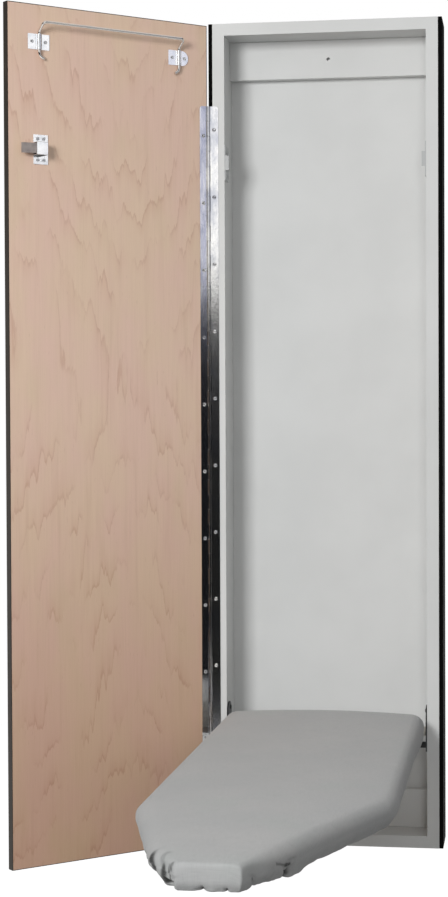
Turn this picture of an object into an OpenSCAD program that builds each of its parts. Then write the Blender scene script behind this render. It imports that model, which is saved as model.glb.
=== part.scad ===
// Mirrored ironing board cabinet, door open and board folded down.
// Origin at the middle of the wall face. +Z up, +Y into the wall, +X to the right.
// All sizes are in millimetres.

/* [Cabinet box] */
// Width of the box across its two side panels
box_w = 368; // [356:1:400]
// Height of the box
box_h = 1346; // [1320:1:1420]
// Depth from the wall to the front edges
box_d = 89; // [86:1:110]
// Thickness of the side, top and bottom panels
panel_t = 19.5; // [16:0.5:22]
// Thickness of the back panel
back_t = 3; // [2.5:0.5:5]
// Thickness of the skin on each outer side
skin_t = 6.5; // [5:0.5:8]
// Height of the two cleats
cleat_h = 63; // [50:1:80]
// Thickness of the two cleats
cleat_t = 19; // [12:1:20]
// Radius of the wall screw hole in each cleat
wall_hole_r = 2.6; // [2:0.1:4]

/* [Door] */
// How far the door's free edge stops short of the box's far side
door_side_short = 11.2; // [9:0.1:20]
// How far the door stops short of the box at top and bottom
door_short = 3; // [2:0.5:6]
// Thickness of the veneered panel
veneer_panel_t = 9; // [8.5:0.5:12]
// Thickness of the mirror
mirror_t = 4; // [3:0.5:6]
// Thickness of the edge bands
band_t = 1.2; // [0.8:0.1:2]
// Angle by which the door stands open
door_open = 136.7; // [95:0.1:175]
// Distance of the door's edge from the hinge axis
door_edge = 0.8; // [0.6:0.1:1.5]

/* [Piano hinge] */
// Width of each leaf from the hinge axis
leaf_w = 16; // [15:0.5:18]
// Thickness of the leaves
leaf_t = 1; // [0.8:0.1:1.2]
// Outer radius of the knuckles
knuckle_r = 2.5; // [2.4:0.1:3]
// Radius of the hinge pin
pin_r = 1.3; // [1.2:0.05:1.4]
// Radial play between pin and knuckle
pin_play = 0.06; // [0.04:0.01:0.09]
// Distance from the box's ends to the hinge's ends
hinge_short = 134.5; // [100:0.5:200]
// Wanted length of one knuckle with its gap
knuckle_pitch = 24.5; // [20:0.5:30]
// Gap between neighbouring knuckles
knuckle_gap = 0.4; // [0.3:0.1:0.8]
// Distance between hinge screws
hinge_screw_pitch = 110; // [80:1:130]
// Distance of the screws from the hinge axis
hinge_screw_in = 9; // [8.9:0.1:9.5]
// How much lower the door leaf's screws sit than the box leaf's
hinge_stagger = 10; // [5:1:20]

/* [Garment bar] */
// Diameter of the bar's wire
bar_d = 5; // [4:0.25:5.5]
// Distance of the upright end near the hinge from the hinge axis
bar_near = 57.5; // [50:0.5:70]
// Distance of the other upright end from the door's free edge
bar_far_in = 54.3; // [50:0.1:70]
// Distance of the bar below the door's top edge
bar_below_top = 30; // [26:0.5:40]
// Distance of the bar's centre from the door's inner face
bar_stand_off = 18; // [15:0.5:20]
// How far the bar lifts in its straps
bar_lift = 3; // [2:0.5:5]
// Width of a strap
strap_w = 38; // [34:0.5:44]
// Height of a strap
strap_h = 24; // [20:0.5:26]
// Thickness of the strap's steel
strap_t = 1.2; // [1:0.1:1.5]

/* [Door catch] */
// Distance of the catch's middle from the door's free edge
catch_in = 56.8; // [56:0.1:62]
// Distance of the catch's middle below the door's top edge
catch_below_top = 224; // [200:1:260]
// Width of the catch's base plate
catch_w = 26; // [24:0.5:28]
// Height of the catch's base plate
catch_h = 46; // [42:0.5:54]
// Thickness of the catch's base plate
catch_t = 1.2; // [1:0.1:1.6]
// Height of the catch's housing
housing_h = 20; // [17:0.5:22]
// Depth of the housing above the base plate
housing_d = 15; // [14:0.5:16]
// Width of the tongue
tongue_w = 15.5; // [12:0.5:16]
// Travel of the tongue into its housing
tongue_travel = 7; // [4:0.5:7]

/* [Keepers] */
// Height of the keeper plates on the inner walls
keeper_h = 56; // [50:1:60]
// Depth of the keeper plates along the walls
keeper_d = 36; // [30:1:40]
// Thickness of the keeper's steel
keeper_t = 1.5; // [1:0.1:1.6]
// How far the keeper's lip stands off the wall
keeper_lip = 7; // [5:0.5:7]

/* [Ironing board] */
// Length of the padded board
board_l = 1060; // [1000:1:1070]
// Gap between the padded board's sides and the cabinet's inner walls
board_side_gap = 4; // [3.5:0.5:10]
// Height of the ironing surface above the cabinet's bottom
board_z = 219.4; // [215:0.2:235]
// How far the folded-down board's rear edge stands in front of the box
board_front = 15; // [12:1:20]
// Depth of the cover's skirt
skirt_h = 36; // [34:0.5:38]
// Width of the blunt nose
nose_w = 112; // [90:1:130]
// Sideways shift of the nose from the board's centre line
nose_shift = -31; // [-35:1:0]
// Length of the straight part of the left side
left_straight = 750; // [700:1:780]
// Length of the straight part of the right side
right_straight = 680; // [640:1:780]
// Rise of the pad's crown from the edges to the middle
crown = 2.5; // [1:0.5:4]
// Thickness of the cover's cloth
cloth_t = 1.2; // [1:0.1:1.5]
// Thickness of the pad
pad_t = 8; // [6:0.5:8]
// Thickness of the plywood deck
deck_t = 12; // [9:0.5:12]

/* [Board frame and pivots] */
// Height of the steel rails under the deck
rail_h = 17; // [14:0.5:18]
// Thickness of the rails' steel
rail_t = 1.5; // [1.2:0.1:2]
// Distance between the rails' middles
rail_gap = 150; // [130:1:160]
// Length of the rails
rail_l = 665; // [600:1:680]
// Distance of the pivot behind the box's front edges
pivot_in = 19; // [17:0.5:22]
// Height of the pivot above the cabinet's bottom
pivot_z = 188; // [186:0.5:190]
// Radius of the pivot bolts
pivot_r = 4; // [3:0.1:4.5]
// Radial play of the ears on the pivot bolts
pivot_play = 0.06; // [0.04:0.01:0.09]
// Thickness of the ears
ear_t = 3; // [2.5:0.5:4]
// Thickness of the wall brackets
bracket_t = 2.5; // [2:0.5:3]
// Width of the wall brackets
bracket_w = 37; // [34:1:40]
// Radius of the rubber sleeves on the stop pins
stop_r = 5; // [4.5:0.25:5.5]
// Radius of the stop pins
stop_pin_r = 3; // [2.5:0.25:3.5]

/* [Hidden] */
$fn = 48;

// The box, seen from its own frame
inner_w = box_w - 2 * panel_t;
front_y = -box_d;
top_z = box_h / 2;
bottom_z = -box_h / 2;
inner_top_z = top_z - panel_t;
inner_bottom_z = bottom_z + panel_t;
cleat_front_y = -back_t - cleat_t;

// Play around each screw, and a little more where cloth meets a solid
screw_play = 0.05;
soft_gap = 0.3;

// Hinge axis: over the outer edge of the left skin, one knuckle radius before the front
axis_x = -box_w / 2 - skin_t;
axis_y = front_y - knuckle_r;
hinge_l = box_h - 2 * hinge_short;
knuckle_n = round(hinge_l / knuckle_pitch);
knuckle_step = hinge_l / knuckle_n;
hinge_screw_n = floor((hinge_l - 70) / hinge_screw_pitch) + 1;
hinge_screw_z0 = -(hinge_screw_n - 1) * hinge_screw_pitch / 2;
notch_w = knuckle_r + knuckle_gap;

// The door in its own frame: s along +X from the hinge axis, closed against the box
door_h = box_h - 2 * door_short;
door_top_z = door_h / 2;
face_y = -knuckle_r;
door_t = veneer_panel_t + mirror_t;
door_far = box_w + 2 * skin_t - door_side_short;

// Garment bar and its straps, n being the distance from the door's inner face
bar_r = bar_d / 2;
bar_play = 0.3;
bar_far = door_far - bar_far_in;
bar_span = bar_far - bar_near;
wire_n = bar_r + bar_play;
bar_z = door_top_z - bar_below_top;
// The arms lean off the door at this angle, and the wire turns on these radii
lean = 50;
bar_bend = 6;
hook_bend = 10;
hook_drop = bar_lift + 0.5;
arm_l = (bar_stand_off - wire_n - bar_bend * (1 - cos(lean))) / sin(lean) - bar_bend;
lean_z = bar_z - bar_bend * sin(lean) - (arm_l + bar_bend) * cos(lean);
strap_top_z = lean_z - 0.5;
strap_z = strap_top_z - strap_h / 2;
strap_screw_s = strap_w * 0.31;

// Catch: the tongue's flat back just clears the keeper's lip with the door shut
catch_s = door_far - catch_in;
catch_z = door_top_z - catch_below_top;
keeper_y = front_y + 0.3;
tongue_n = knuckle_r * 2 + 0.3 + keeper_t + 0.4;
wall_t = 1;
tongue_t = catch_t + housing_d - wall_t - tongue_n - 0.2;
tongue_tip = inner_w / 2 - axis_x - 3.8;
housing_w = 20;
housing_s = catch_s - 5;
tongue_back = housing_s + wall_t + tongue_travel + 1.5;
catch_screw_s = catch_w / 2 - 7.8;
catch_screw_z = catch_h / 2 - 6.5;
keeper_screw_z = keeper_h / 2 - 9.5;

// Ironing board: d is the distance from the board's rear edge towards the nose
board_w = inner_w - 2 * board_side_gap;
rear_y = front_y - board_front;
top_face = bottom_z + board_z;
hem_z = top_face - skirt_h;
deck_top = top_face - cloth_t - pad_t;
deck_bottom = deck_top - deck_t;
rail_bottom = deck_bottom - rail_h;
skirt_t = 2;
deck_inset = skirt_t + soft_gap + 0.7;
// The hem: its height, how far it is drawn in, its thickness, and the depth of its gathers
hem_h = 6;
hem_in = 4;
hem_t = 2.5;
gather = 3;
elastic_t = 1.2;
elastic_in = hem_in + hem_t + gather + soft_gap;
// The ears stand just inside the elastic
ear_x = board_w / 2 - elastic_in - elastic_t - 0.5;
pivot_y = front_y + pivot_in;
pivot_h = bottom_z + pivot_z;
bracket_y = front_y + 2 + bracket_w / 2;
bracket_above = 43;
bracket_below = 31;
bracket_top = pivot_h + bracket_above;
bracket_bottom = pivot_h - bracket_below;
// Bracket screws [back from the bracket's middle, above the pivot]
bracket_screw_spots = [[4, 33], [12, 10], [10, -24]];
// The ear's arms rest on the stop pins' sleeves, in front of the pivot and below it
ear_end_r = 15;
stop_y = front_y + stop_r + 2;
stop_z = pivot_h - ear_end_r - soft_gap - stop_r;
// The steel crossbars are this wide, and the rear one starts this far from the board's edge
crossbar_w = 24;
crossbar_in = 28;
crossbar_y = rear_y - crossbar_in;

// Outline of the padded board as corners [x, d, radius], anticlockwise seen from above
rear_r = 26;
right_bend_r = 170;
left_bend_r = 150;
nose_r = 60;
tip_r = 48;
tip_in = 29;
right_nose_back = 45;
right_nose_out = 12;
left_nose_back = 60;
left_nose_out = 10;
board_corners = [[-board_w / 2, 0, rear_r],
                 [board_w / 2, 0, rear_r],
                 [board_w / 2, right_straight, right_bend_r],
                 [nose_shift + nose_w / 2 + right_nose_out, board_l - right_nose_back, nose_r],
                 [nose_shift + nose_w / 2 - tip_in, board_l, tip_r],
                 [nose_shift - nose_w / 2 + tip_in, board_l, tip_r],
                 [nose_shift - nose_w / 2 - left_nose_out, board_l - left_nose_back, nose_r],
                 [-board_w / 2, left_straight, left_bend_r]];
arc_steps = 6;

function unit(v) = v / norm(v);
function cross_z(a, b) = a[0] * b[1] - a[1] * b[0];
function left_of(v) = [-v[1], v[0]];

// A corner list with every side moved inwards by e
function inset_corners(c, e) = [
    for (i = [0 : len(c) - 1])
        let (p = c[i],
             a = unit(xy(p) - xy(c[(i + len(c) - 1) % len(c)])),
             b = unit(xy(c[(i + 1) % len(c)]) - xy(p)),
             m = unit(left_of(a) + left_of(b)),
             q = xy(p) + m * e / (m * left_of(a)))
        [q[0], q[1], max(p[2] - e, 0.5)]];
function xy(p) = [p[0], p[1]];

// The points of a corner's arc, from its first tangent point to its second
function corner_arc(before, p, after) =
    let (a = unit(xy(p) - xy(before)),
         b = unit(xy(after) - xy(p)),
         turn = atan2(cross_z(a, b), a * b),
         reach = p[2] * tan(turn / 2),
         centre = xy(p) - a * reach + left_of(a) * p[2],
         start = atan2(-left_of(a)[1], -left_of(a)[0]))
    [for (k = [0 : arc_steps])
        centre + p[2] * [cos(start + turn * k / arc_steps), sin(start + turn * k / arc_steps)]];

function rounded(c) = [
    for (i = [0 : len(c) - 1])
        each corner_arc(c[(i + len(c) - 1) % len(c)], c[i], c[(i + 1) % len(c)])];

// The board's outline in x and y, moved inwards by e
function board_outline(e) = [for (p = rounded(inset_corners(board_corners, e))) [p[0], rear_y - p[1]]];

// One ring of the soft forms: the outline at height z
function ring(e, z) = [for (p = board_outline(e)) [p[0], p[1], z]];

// A ring of the hem, drawn in and out by the gathers around the nose
function hem_ring(e, z) =
    let (inner = board_outline(e + gather), outer = board_outline(e), n = len(outer))
    [for (i = [0 : n - 1])
        let (nose = max(0, min(1, (rear_y - outer[i][1] - left_straight) / 200)),
             w = nose * (0.5 + 0.5 * (i % 2)))
        concat(outer[i] * (1 - w) + inner[i] * w, [z])];

// Rings of equal length joined into one closed skin, with a fan at each end
module skin_of_rings(rings) {
    n = len(rings[0]);
    m = len(rings);
    first = mean(rings[0]);
    last = mean(rings[m - 1]);
    points = concat([for (r = rings) each r], [first, last]);
    sides = [for (j = [0 : m - 2], i = [0 : n - 1])
        let (k = (i + 1) % n)
        each [[j * n + i, (j + 1) * n + i, (j + 1) * n + k], [j * n + i, (j + 1) * n + k, j * n + k]]];
    start = [for (i = [0 : n - 1]) [m * n, i, (i + 1) % n]];
    end = [for (i = [0 : n - 1]) [m * n + 1, (m - 1) * n + (i + 1) % n, (m - 1) * n + i]];
    polyhedron(points = points, faces = concat(start, sides, end), convexity = 4);
}
function mean(r) = [for (a = [0 : 2]) sum([for (p = r) p[a]]) / len(r)];
function sum(v) = [for (x = v) 1] * v;

// A box given by its low and high corners
module block(low, high) {
    translate(low) cube(high - low);
}

// Places its children in the open door's frame
module on_door() {
    translate([axis_x, axis_y, 0]) rotate([0, 0, -door_open]) children();
}

// A round-headed wood screw: its head's seat at the origin, its shank down -Z
module wood_screw(shank_r, shank_l, head_r, head_h) {
    translate([0, 0, -shank_l]) cylinder(r = shank_r, h = shank_l);
    rotate_extrude() polygon([[0, 0], [head_r, 0], [head_r, head_h * 0.35],
        [head_r * 0.72, head_h * 0.85], [head_r * 0.35, head_h], [0, head_h]]);
}

// The bore that such a screw's shank needs
module screw_bore(shank_r, shank_l) {
    translate([0, 0, -shank_l - 0.5]) cylinder(r = shank_r + screw_play, h = shank_l + 1.5);
}

/* Cabinet box */

carcass_screw_l = 40;
carcass_screw_r = 2;
carcass_head_r = 3.5;
carcass_head_h = 3;

// The screws that hold the top and bottom between the sides, heads sunk in the sides
module carcass_screw_places() {
    for (side = [-1, 1], z = [top_z - panel_t / 2, bottom_z + panel_t / 2], depth = [0.3, 0.75])
        translate([side * (box_w / 2 - carcass_head_h - 0.2), front_y * depth, z])
            rotate([0, side * 90, 0]) children();
}

module carcass_bores() {
    carcass_screw_places() screw_bore(carcass_screw_r, carcass_screw_l);
    carcass_screw_places() translate([0, 0, -screw_play]) cylinder(r = carcass_head_r + 0.2, h = 5);
}

module side_panel(side) {
    difference() {
        block([side > 0 ? inner_w / 2 : -box_w / 2, front_y, bottom_z],
              [side > 0 ? box_w / 2 : -inner_w / 2, -back_t, top_z]);
        carcass_bores();
        if (side < 0) cabinet_hinge_screws() screw_bore(hinge_screw_r, hinge_screw_l);
        keeper_screw_places() screw_bore(plate_screw_r, plate_screw_l);
        bracket_screw_places() screw_bore(bracket_screw_r, bracket_screw_l);
    }
}
module side_panel_left() { color("lightgray") side_panel(-1); }
module side_panel_right() { color("lightgray") side_panel(1); }

module end_panel(low, high) {
    difference() {
        block([-inner_w / 2, front_y, low], [inner_w / 2, -back_t, high]);
        carcass_bores();
    }
}
module top_panel() { color("gainsboro") end_panel(inner_top_z, top_z); }
module bottom_panel() { color("gainsboro") end_panel(bottom_z, inner_bottom_z); }

upper_cleat_z = inner_top_z - cleat_h / 2;
lower_cleat_z = inner_bottom_z + cleat_h / 2;

module wall_bore(z) {
    translate([0, 1, z]) rotate([90, 0, 0]) cylinder(r = wall_hole_r, h = back_t + cleat_t + 2);
}

module back_panel() {
    color("silver") difference() {
        block([-box_w / 2, -back_t, bottom_z], [box_w / 2, 0, top_z]);
        wall_bore(upper_cleat_z);
        wall_bore(lower_cleat_z);
    }
}

module cleat(z) {
    difference() {
        block([-inner_w / 2, cleat_front_y, z - cleat_h / 2], [inner_w / 2, -back_t, z + cleat_h / 2]);
        wall_bore(z);
    }
}
module upper_cleat() { color("lightgray") cleat(upper_cleat_z); }
module lower_cleat() { color("lightgray") cleat(lower_cleat_z); }

module side_skin(side) {
    block([side > 0 ? box_w / 2 : -box_w / 2 - skin_t, front_y, bottom_z],
          [side > 0 ? box_w / 2 + skin_t : -box_w / 2, 0, top_z]);
}
module side_skin_left() { color("black") side_skin(-1); }
module side_skin_right() { color("black") side_skin(1); }

module carcass_screws() {
    color("dimgray") carcass_screw_places()
        wood_screw(carcass_screw_r, carcass_screw_l, carcass_head_r, carcass_head_h);
}

/* Piano hinge */

hinge_screw_r = 1.6;
hinge_screw_l = 7;
hinge_head_r = 3.1;
hinge_head_h = 1.5;

module hinge_screw_rows(z0) {
    for (k = [0 : hinge_screw_n - 1]) translate([hinge_screw_in, 0, z0 + k * hinge_screw_pitch]) children();
}
// Screws through the cabinet leaf, heads to the front
module cabinet_hinge_screws() {
    translate([axis_x, front_y - leaf_t, 0])
        hinge_screw_rows(hinge_screw_z0 + hinge_stagger / 2) rotate([90, 0, 0]) children();
}
// Screws through the door leaf, in the door's frame, heads to the inner side
module door_hinge_screws() {
    translate([0, face_y + leaf_t, 0])
        hinge_screw_rows(hinge_screw_z0 - hinge_stagger / 2) rotate([-90, 0, 0]) children();
}

// One leaf in the hinge's frame, flat on y = -knuckle_r, with every second knuckle
module hinge_leaf(first) {
    difference() {
        union() {
            block([notch_w, -knuckle_r, -hinge_l / 2], [leaf_w, -knuckle_r + leaf_t, hinge_l / 2]);
            for (k = [first : 2 : knuckle_n - 1])
                translate([0, 0, -hinge_l / 2 + k * knuckle_step + knuckle_gap / 2]) {
                    cylinder(r = knuckle_r, h = knuckle_step - knuckle_gap);
                    translate([0, -knuckle_r, 0]) cube([notch_w + 0.5, leaf_t, knuckle_step - knuckle_gap]);
                }
        }
        translate([0, 0, -hinge_l / 2 - 1]) cylinder(r = pin_r + pin_play, h = hinge_l + 2);
        leaf_corners();
    }
}
// The leaf's outer corners are rounded
module leaf_corners() {
    corner = 5;
    for (end = [-1, 1]) difference() {
        translate([leaf_w - corner, -knuckle_r - 1, end > 0 ? hinge_l / 2 - corner : -hinge_l / 2 - 1])
            cube([corner + 1, leaf_t + 2, corner + 1]);
        translate([leaf_w - corner, -knuckle_r - 2, end * (hinge_l / 2 - corner)])
            rotate([-90, 0, 0]) cylinder(r = corner, h = leaf_t + 4);
    }
}

module hinge_leaf_cabinet() {
    color("silver") difference() {
        translate([axis_x, axis_y, 0]) mirror([0, 1, 0]) hinge_leaf(0);
        cabinet_hinge_screws() screw_bore(hinge_screw_r + 0.2, hinge_screw_l);
    }
}

module hinge_leaf_door() {
    color("silver") on_door() difference() {
        hinge_leaf(1);
        door_hinge_screws() screw_bore(hinge_screw_r + 0.2, hinge_screw_l);
    }
}

module hinge_pin() {
    color("gray") translate([axis_x, axis_y, -hinge_l / 2]) cylinder(r = pin_r, h = hinge_l);
}

module hinge_screws_cabinet() {
    color("white") cabinet_hinge_screws()
        wood_screw(hinge_screw_r, hinge_screw_l, hinge_head_r, hinge_head_h);
}
module hinge_screws_door() {
    color("white") on_door() door_hinge_screws()
        wood_screw(hinge_screw_r, hinge_screw_l, hinge_head_r, hinge_head_h);
}

/* Keepers on the inner walls */

plate_screw_r = 1.5;
plate_screw_l = 7;
plate_head_r = 2.8;
plate_head_h = 1.4;

module keeper_screw_places() {
    for (side = [-1, 1], z = [-1, 1])
        translate([side * (inner_w / 2 - keeper_t), keeper_y + keeper_d - 9, catch_z + z * keeper_screw_z])
            rotate([0, -side * 90, 0]) children();
}

// A plate on the wall with a lip across its front, and a stiffening step behind it
module keeper(side) {
    difference() {
        mirror([side > 0 ? 0 : 1, 0, 0]) {
            block([inner_w / 2 - keeper_t, keeper_y, catch_z - keeper_h / 2],
                  [inner_w / 2, keeper_y + keeper_d, catch_z + keeper_h / 2]);
            block([inner_w / 2 - keeper_lip, keeper_y, catch_z - tongue_w / 2 - 4],
                  [inner_w / 2 - keeper_t, keeper_y + keeper_t, catch_z + tongue_w / 2 + 4]);
        }
        keeper_screw_places() screw_bore(plate_screw_r + 0.2, plate_screw_l);
    }
}
module keeper_left() { color("lightgray") keeper(-1); }
module keeper_right() { color("lightgray") keeper(1); }
module keeper_screws() {
    color("silver") keeper_screw_places()
        wood_screw(plate_screw_r, plate_screw_l, plate_head_r, plate_head_h);
}

/* Wall brackets, pivots and stops */

bracket_screw_r = 2;
bracket_screw_l = 14;
bracket_head_r = 3.8;
bracket_head_h = 2;

module bracket_screw_places() {
    for (side = [-1, 1], p = bracket_screw_spots)
        translate([side * (inner_w / 2 - bracket_t), bracket_y + p[0], pivot_h + p[1]])
            rotate([0, -side * 90, 0]) children();
}

// Places its children on the pivot axis, along +X from the middle to the right wall
module at_pivot(side) {
    mirror([side > 0 ? 0 : 1, 0, 0]) translate([0, pivot_y, pivot_h]) rotate([0, 90, 0]) children();
}
module at_stop(side) {
    mirror([side > 0 ? 0 : 1, 0, 0]) translate([0, stop_y, stop_z]) rotate([0, 90, 0]) children();
}

module pivot_bracket(side) {
    half = bracket_w / 2;
    difference() {
        mirror([side > 0 ? 0 : 1, 0, 0]) translate([inner_w / 2 - bracket_t, bracket_y, 0])
            rotate([90, 0, 90]) linear_extrude(bracket_t) union() {
                translate([-half, bracket_bottom]) square([bracket_w, bracket_top - half - bracket_bottom]);
                translate([0, bracket_top - half]) circle(r = half);
            }
        at_pivot(side) cylinder(r = pivot_r + screw_play, h = inner_w / 2);
        at_stop(side) cylinder(r = stop_pin_r + screw_play, h = inner_w / 2);
        bracket_screw_places() screw_bore(bracket_screw_r + 0.2, bracket_screw_l);
    }
}
module pivot_bracket_left() { color("dimgray") pivot_bracket(-1); }
module pivot_bracket_right() { color("dimgray") pivot_bracket(1); }

module bracket_screws() {
    color("silver") bracket_screw_places()
        wood_screw(bracket_screw_r, bracket_screw_l, bracket_head_r, bracket_head_h);
}

// Shoulder bolt from the wall through bracket, spacer and ear, with its head inside
module pivot_bolt(side) {
    head_h = 4;
    head_r = 7;
    inside = ear_x - ear_t - soft_gap;
    at_pivot(side) {
        translate([0, 0, inside]) cylinder(r = pivot_r, h = inner_w / 2 - inside);
        translate([0, 0, inside - head_h]) cylinder(r = head_r, h = head_h, $fn = 6);
    }
}
module pivot_bolt_left() { color("gray") pivot_bolt(-1); }
module pivot_bolt_right() { color("gray") pivot_bolt(1); }

module pivot_spacers() {
    color("ivory") for (side = [-1, 1]) at_pivot(side) difference() {
        translate([0, 0, ear_x + soft_gap])
            cylinder(r = pivot_r + 3.5, h = inner_w / 2 - bracket_t - ear_x - soft_gap);
        cylinder(r = pivot_r + screw_play, h = inner_w / 2);
    }
}

stop_inside = ear_x - ear_t - 2;
module stop_pin(side) {
    at_stop(side) {
        translate([0, 0, stop_inside]) cylinder(r = stop_pin_r, h = inner_w / 2 - stop_inside);
        translate([0, 0, stop_inside - 1.5]) cylinder(r = stop_pin_r + 1, h = 1.5);
    }
}
module stop_pin_left() { color("gray") stop_pin(-1); }
module stop_pin_right() { color("gray") stop_pin(1); }

module stop_sleeves() {
    color("black") for (side = [-1, 1]) at_stop(side) difference() {
        translate([0, 0, stop_inside]) cylinder(r = stop_r, h = inner_w / 2 - bracket_t - stop_inside);
        cylinder(r = stop_pin_r + screw_play, h = inner_w / 2);
    }
}

/* Door */

module door_slab(n_low, n_high) {
    block([door_edge + band_t, face_y - n_high, -door_top_z + band_t],
          [door_far - band_t, face_y - n_low, door_top_z - band_t]);
}

module door_panel() {
    color("burlywood") on_door() difference() {
        door_slab(0, veneer_panel_t);
        door_hinge_screws() screw_bore(hinge_screw_r, hinge_screw_l);
        strap_screw_places() screw_bore(plate_screw_r, plate_screw_l);
        catch_screw_places() screw_bore(plate_screw_r, plate_screw_l);
    }
}

module mirror_pane() {
    color("lightblue") on_door() door_slab(veneer_panel_t, door_t);
}

module upright_band(s) {
    block([s, face_y - door_t, -door_top_z], [s + band_t, face_y, door_top_z]);
}
module edge_band_free() { color("black") on_door() upright_band(door_far - band_t); }
module edge_band_hinge() { color("black") on_door() upright_band(door_edge); }

module level_band(z) {
    block([door_edge + band_t, face_y - door_t, z], [door_far - band_t, face_y, z + band_t]);
}
module edge_band_top() { color("black") on_door() level_band(door_top_z - band_t); }
module edge_band_bottom() { color("black") on_door() level_band(-door_top_z); }

/* Garment bar */

// Screws of the two straps, near strap first
module strap_screw_places() {
    for (s = [bar_near, bar_far], side = [-1, 1])
        translate([s + side * strap_screw_s, face_y + strap_t, strap_z]) rotate([-90, 0, 0]) children();
}

// A flat strap on the door with a raised channel for the wire; one end may be round
module bar_strap(s, round_end) {
    half = strap_w / 2;
    inner = bar_r + bar_play;
    outer = inner + strap_t;
    translate([s, face_y, strap_z]) difference() {
        union() {
            translate([round_end ? -half + strap_h / 2 : -half, 0, -strap_h / 2])
                cube([round_end ? strap_w - strap_h / 2 : strap_w, strap_t, strap_h]);
            if (round_end) translate([-half + strap_h / 2, 0, 0])
                rotate([-90, 0, 0]) cylinder(r = strap_h / 2, h = strap_t);
            translate([0, wire_n, -strap_h / 2]) cylinder(r = outer, h = strap_h);
            translate([-outer, 0, -strap_h / 2]) cube([2 * outer, wire_n, strap_h]);
        }
        translate([0, wire_n, -strap_h / 2 - 1]) cylinder(r = inner, h = strap_h + 2);
        translate([-inner, -outer, -strap_h / 2 - 1]) cube([2 * inner, outer + wire_n, strap_h + 2]);
        for (side = [-1, 1]) translate([side * strap_screw_s, strap_t, 0])
            rotate([-90, 0, 0]) screw_bore(plate_screw_r + 0.2, plate_screw_l);
    }
}
module bar_strap_left() { color("whitesmoke") on_door() bar_strap(bar_far, false); }
module bar_strap_right() { color("whitesmoke") on_door() bar_strap(bar_near, true); }
module strap_screws() {
    color("silver") on_door() strap_screw_places()
        wood_screw(plate_screw_r, plate_screw_l, plate_head_r, plate_head_h);
}

// A straight stretch of wire up +Z; what follows starts at its end
module wire_run(length) {
    cylinder(r = bar_r, h = length);
    translate([0, 0, length]) children();
}
// A bend of the wire from +Z, turned round Z by towards; what follows starts at its end
module wire_turn(bend_r, angle, towards) {
    rotate([0, 0, towards]) {
        translate([0, bend_r, 0]) rotate([90, 0, -90])
            rotate_extrude(angle = angle) translate([bend_r, 0]) circle(r = bar_r);
        translate([0, bend_r * (1 - cos(angle)), bend_r * sin(angle)]) rotate([-angle, 0, 0]) children();
    }
}

// Half of the bar: hook, upright in the strap, leaning arm, corner and half the rail,
// which runs a hair past the middle into the other half
seam = 0.01;
module bar_half() {
    foot = strap_top_z - strap_h - hook_drop;
    translate([0, face_y + wire_n, foot]) {
        wire_run(lean_z - foot) wire_turn(bar_bend, lean, 0) wire_run(arm_l)
            wire_turn(bar_bend, 90, -90) wire_run(bar_span / 2 - bar_bend + seam);
        mirror([0, 0, 1]) wire_turn(hook_bend, 80, -90);
    }
}

module garment_bar() {
    color("gainsboro") on_door() {
        translate([bar_near, 0, 0]) bar_half();
        translate([bar_far, 0, 0]) mirror([1, 0, 0]) bar_half();
    }
}

/* Door catch */

module catch_screw_places() {
    for (s = [-1, 1], z = [-1, 1])
        translate([catch_s + s * catch_screw_s, face_y + catch_t, catch_z + z * catch_screw_z])
            rotate([-90, 0, 0]) children();
}

module catch_plate() {
    color("whitesmoke") on_door() difference() {
        block([catch_s - catch_w / 2, face_y, catch_z - catch_h / 2],
              [catch_s + catch_w / 2, face_y + catch_t, catch_z + catch_h / 2]);
        catch_screw_places() screw_bore(plate_screw_r + 0.2, plate_screw_l);
    }
}

// A folded box on the plate, open towards the door's free edge
module catch_housing() {
    low = face_y + catch_t;
    color("white") on_door() difference() {
        block([housing_s, low, catch_z - housing_h / 2],
              [housing_s + housing_w, low + housing_d, catch_z + housing_h / 2]);
        block([housing_s + wall_t, low - 1, catch_z - housing_h / 2 + wall_t],
              [housing_s + housing_w + 1, low + housing_d - wall_t, catch_z + housing_h / 2 - wall_t]);
    }
}

// The sprung tongue: a long bevel towards the box, a short steep one behind the tip
module catch_tongue() {
    low = face_y + tongue_n;
    high = low + tongue_t;
    color("silver") on_door() translate([0, 0, catch_z - tongue_w / 2]) linear_extrude(tongue_w)
        polygon([[tongue_back, low], [tongue_tip - 3, low], [tongue_tip, low + 1.6], [tongue_tip, low + 2.6],
                 [housing_s + housing_w + 2, high], [tongue_back, high]]);
}

module catch_screws() {
    color("silver") on_door() catch_screw_places()
        wood_screw(plate_screw_r, plate_screw_l, plate_head_r, plate_head_h);
}

spring_r = 2.2;
spring_wire = 0.35;
spring_turns = 5;
spring_rings = 10;

// Centre of the spring's wire at step k
function spring_at(k, length) =
    let (a = 360 * k / spring_rings, along = length * k / (spring_turns * spring_rings))
    [along, spring_r * cos(a), spring_r * sin(a)];

// A small coil spring between the housing's back wall and the tongue
module catch_spring() {
    length = tongue_back - housing_s - wall_t - 2 * spring_wire - 0.1;
    middle_n = face_y + tongue_n + tongue_t / 2;
    rings = [for (k = [0 : spring_turns * spring_rings])
        let (p = spring_at(k, length), a = 360 * k / spring_rings)
        [for (j = [0 : 5]) p + spring_wire * [sin(60 * j), cos(60 * j) * cos(a), cos(60 * j) * sin(a)]]];
    color("gray") on_door() translate([housing_s + wall_t + spring_wire + 0.05, middle_n, catch_z])
        skin_of_rings(rings);
}

/* Ironing board */

module board_deck() {
    color("tan") difference() {
        translate([0, 0, deck_bottom]) linear_extrude(deck_t) polygon(board_outline(deck_inset));
        deck_screw_places() screw_bore(deck_screw_r, deck_screw_l);
    }
}

// The padded top's profile: inset from the outline, and rise over the flat top face
top_profile = [[0, -pad_t], [0.8, -pad_t * 0.45], [4.5, -1.6], [14.5, -0.3], [33, crown * 0.5], [44, crown]];

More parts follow.
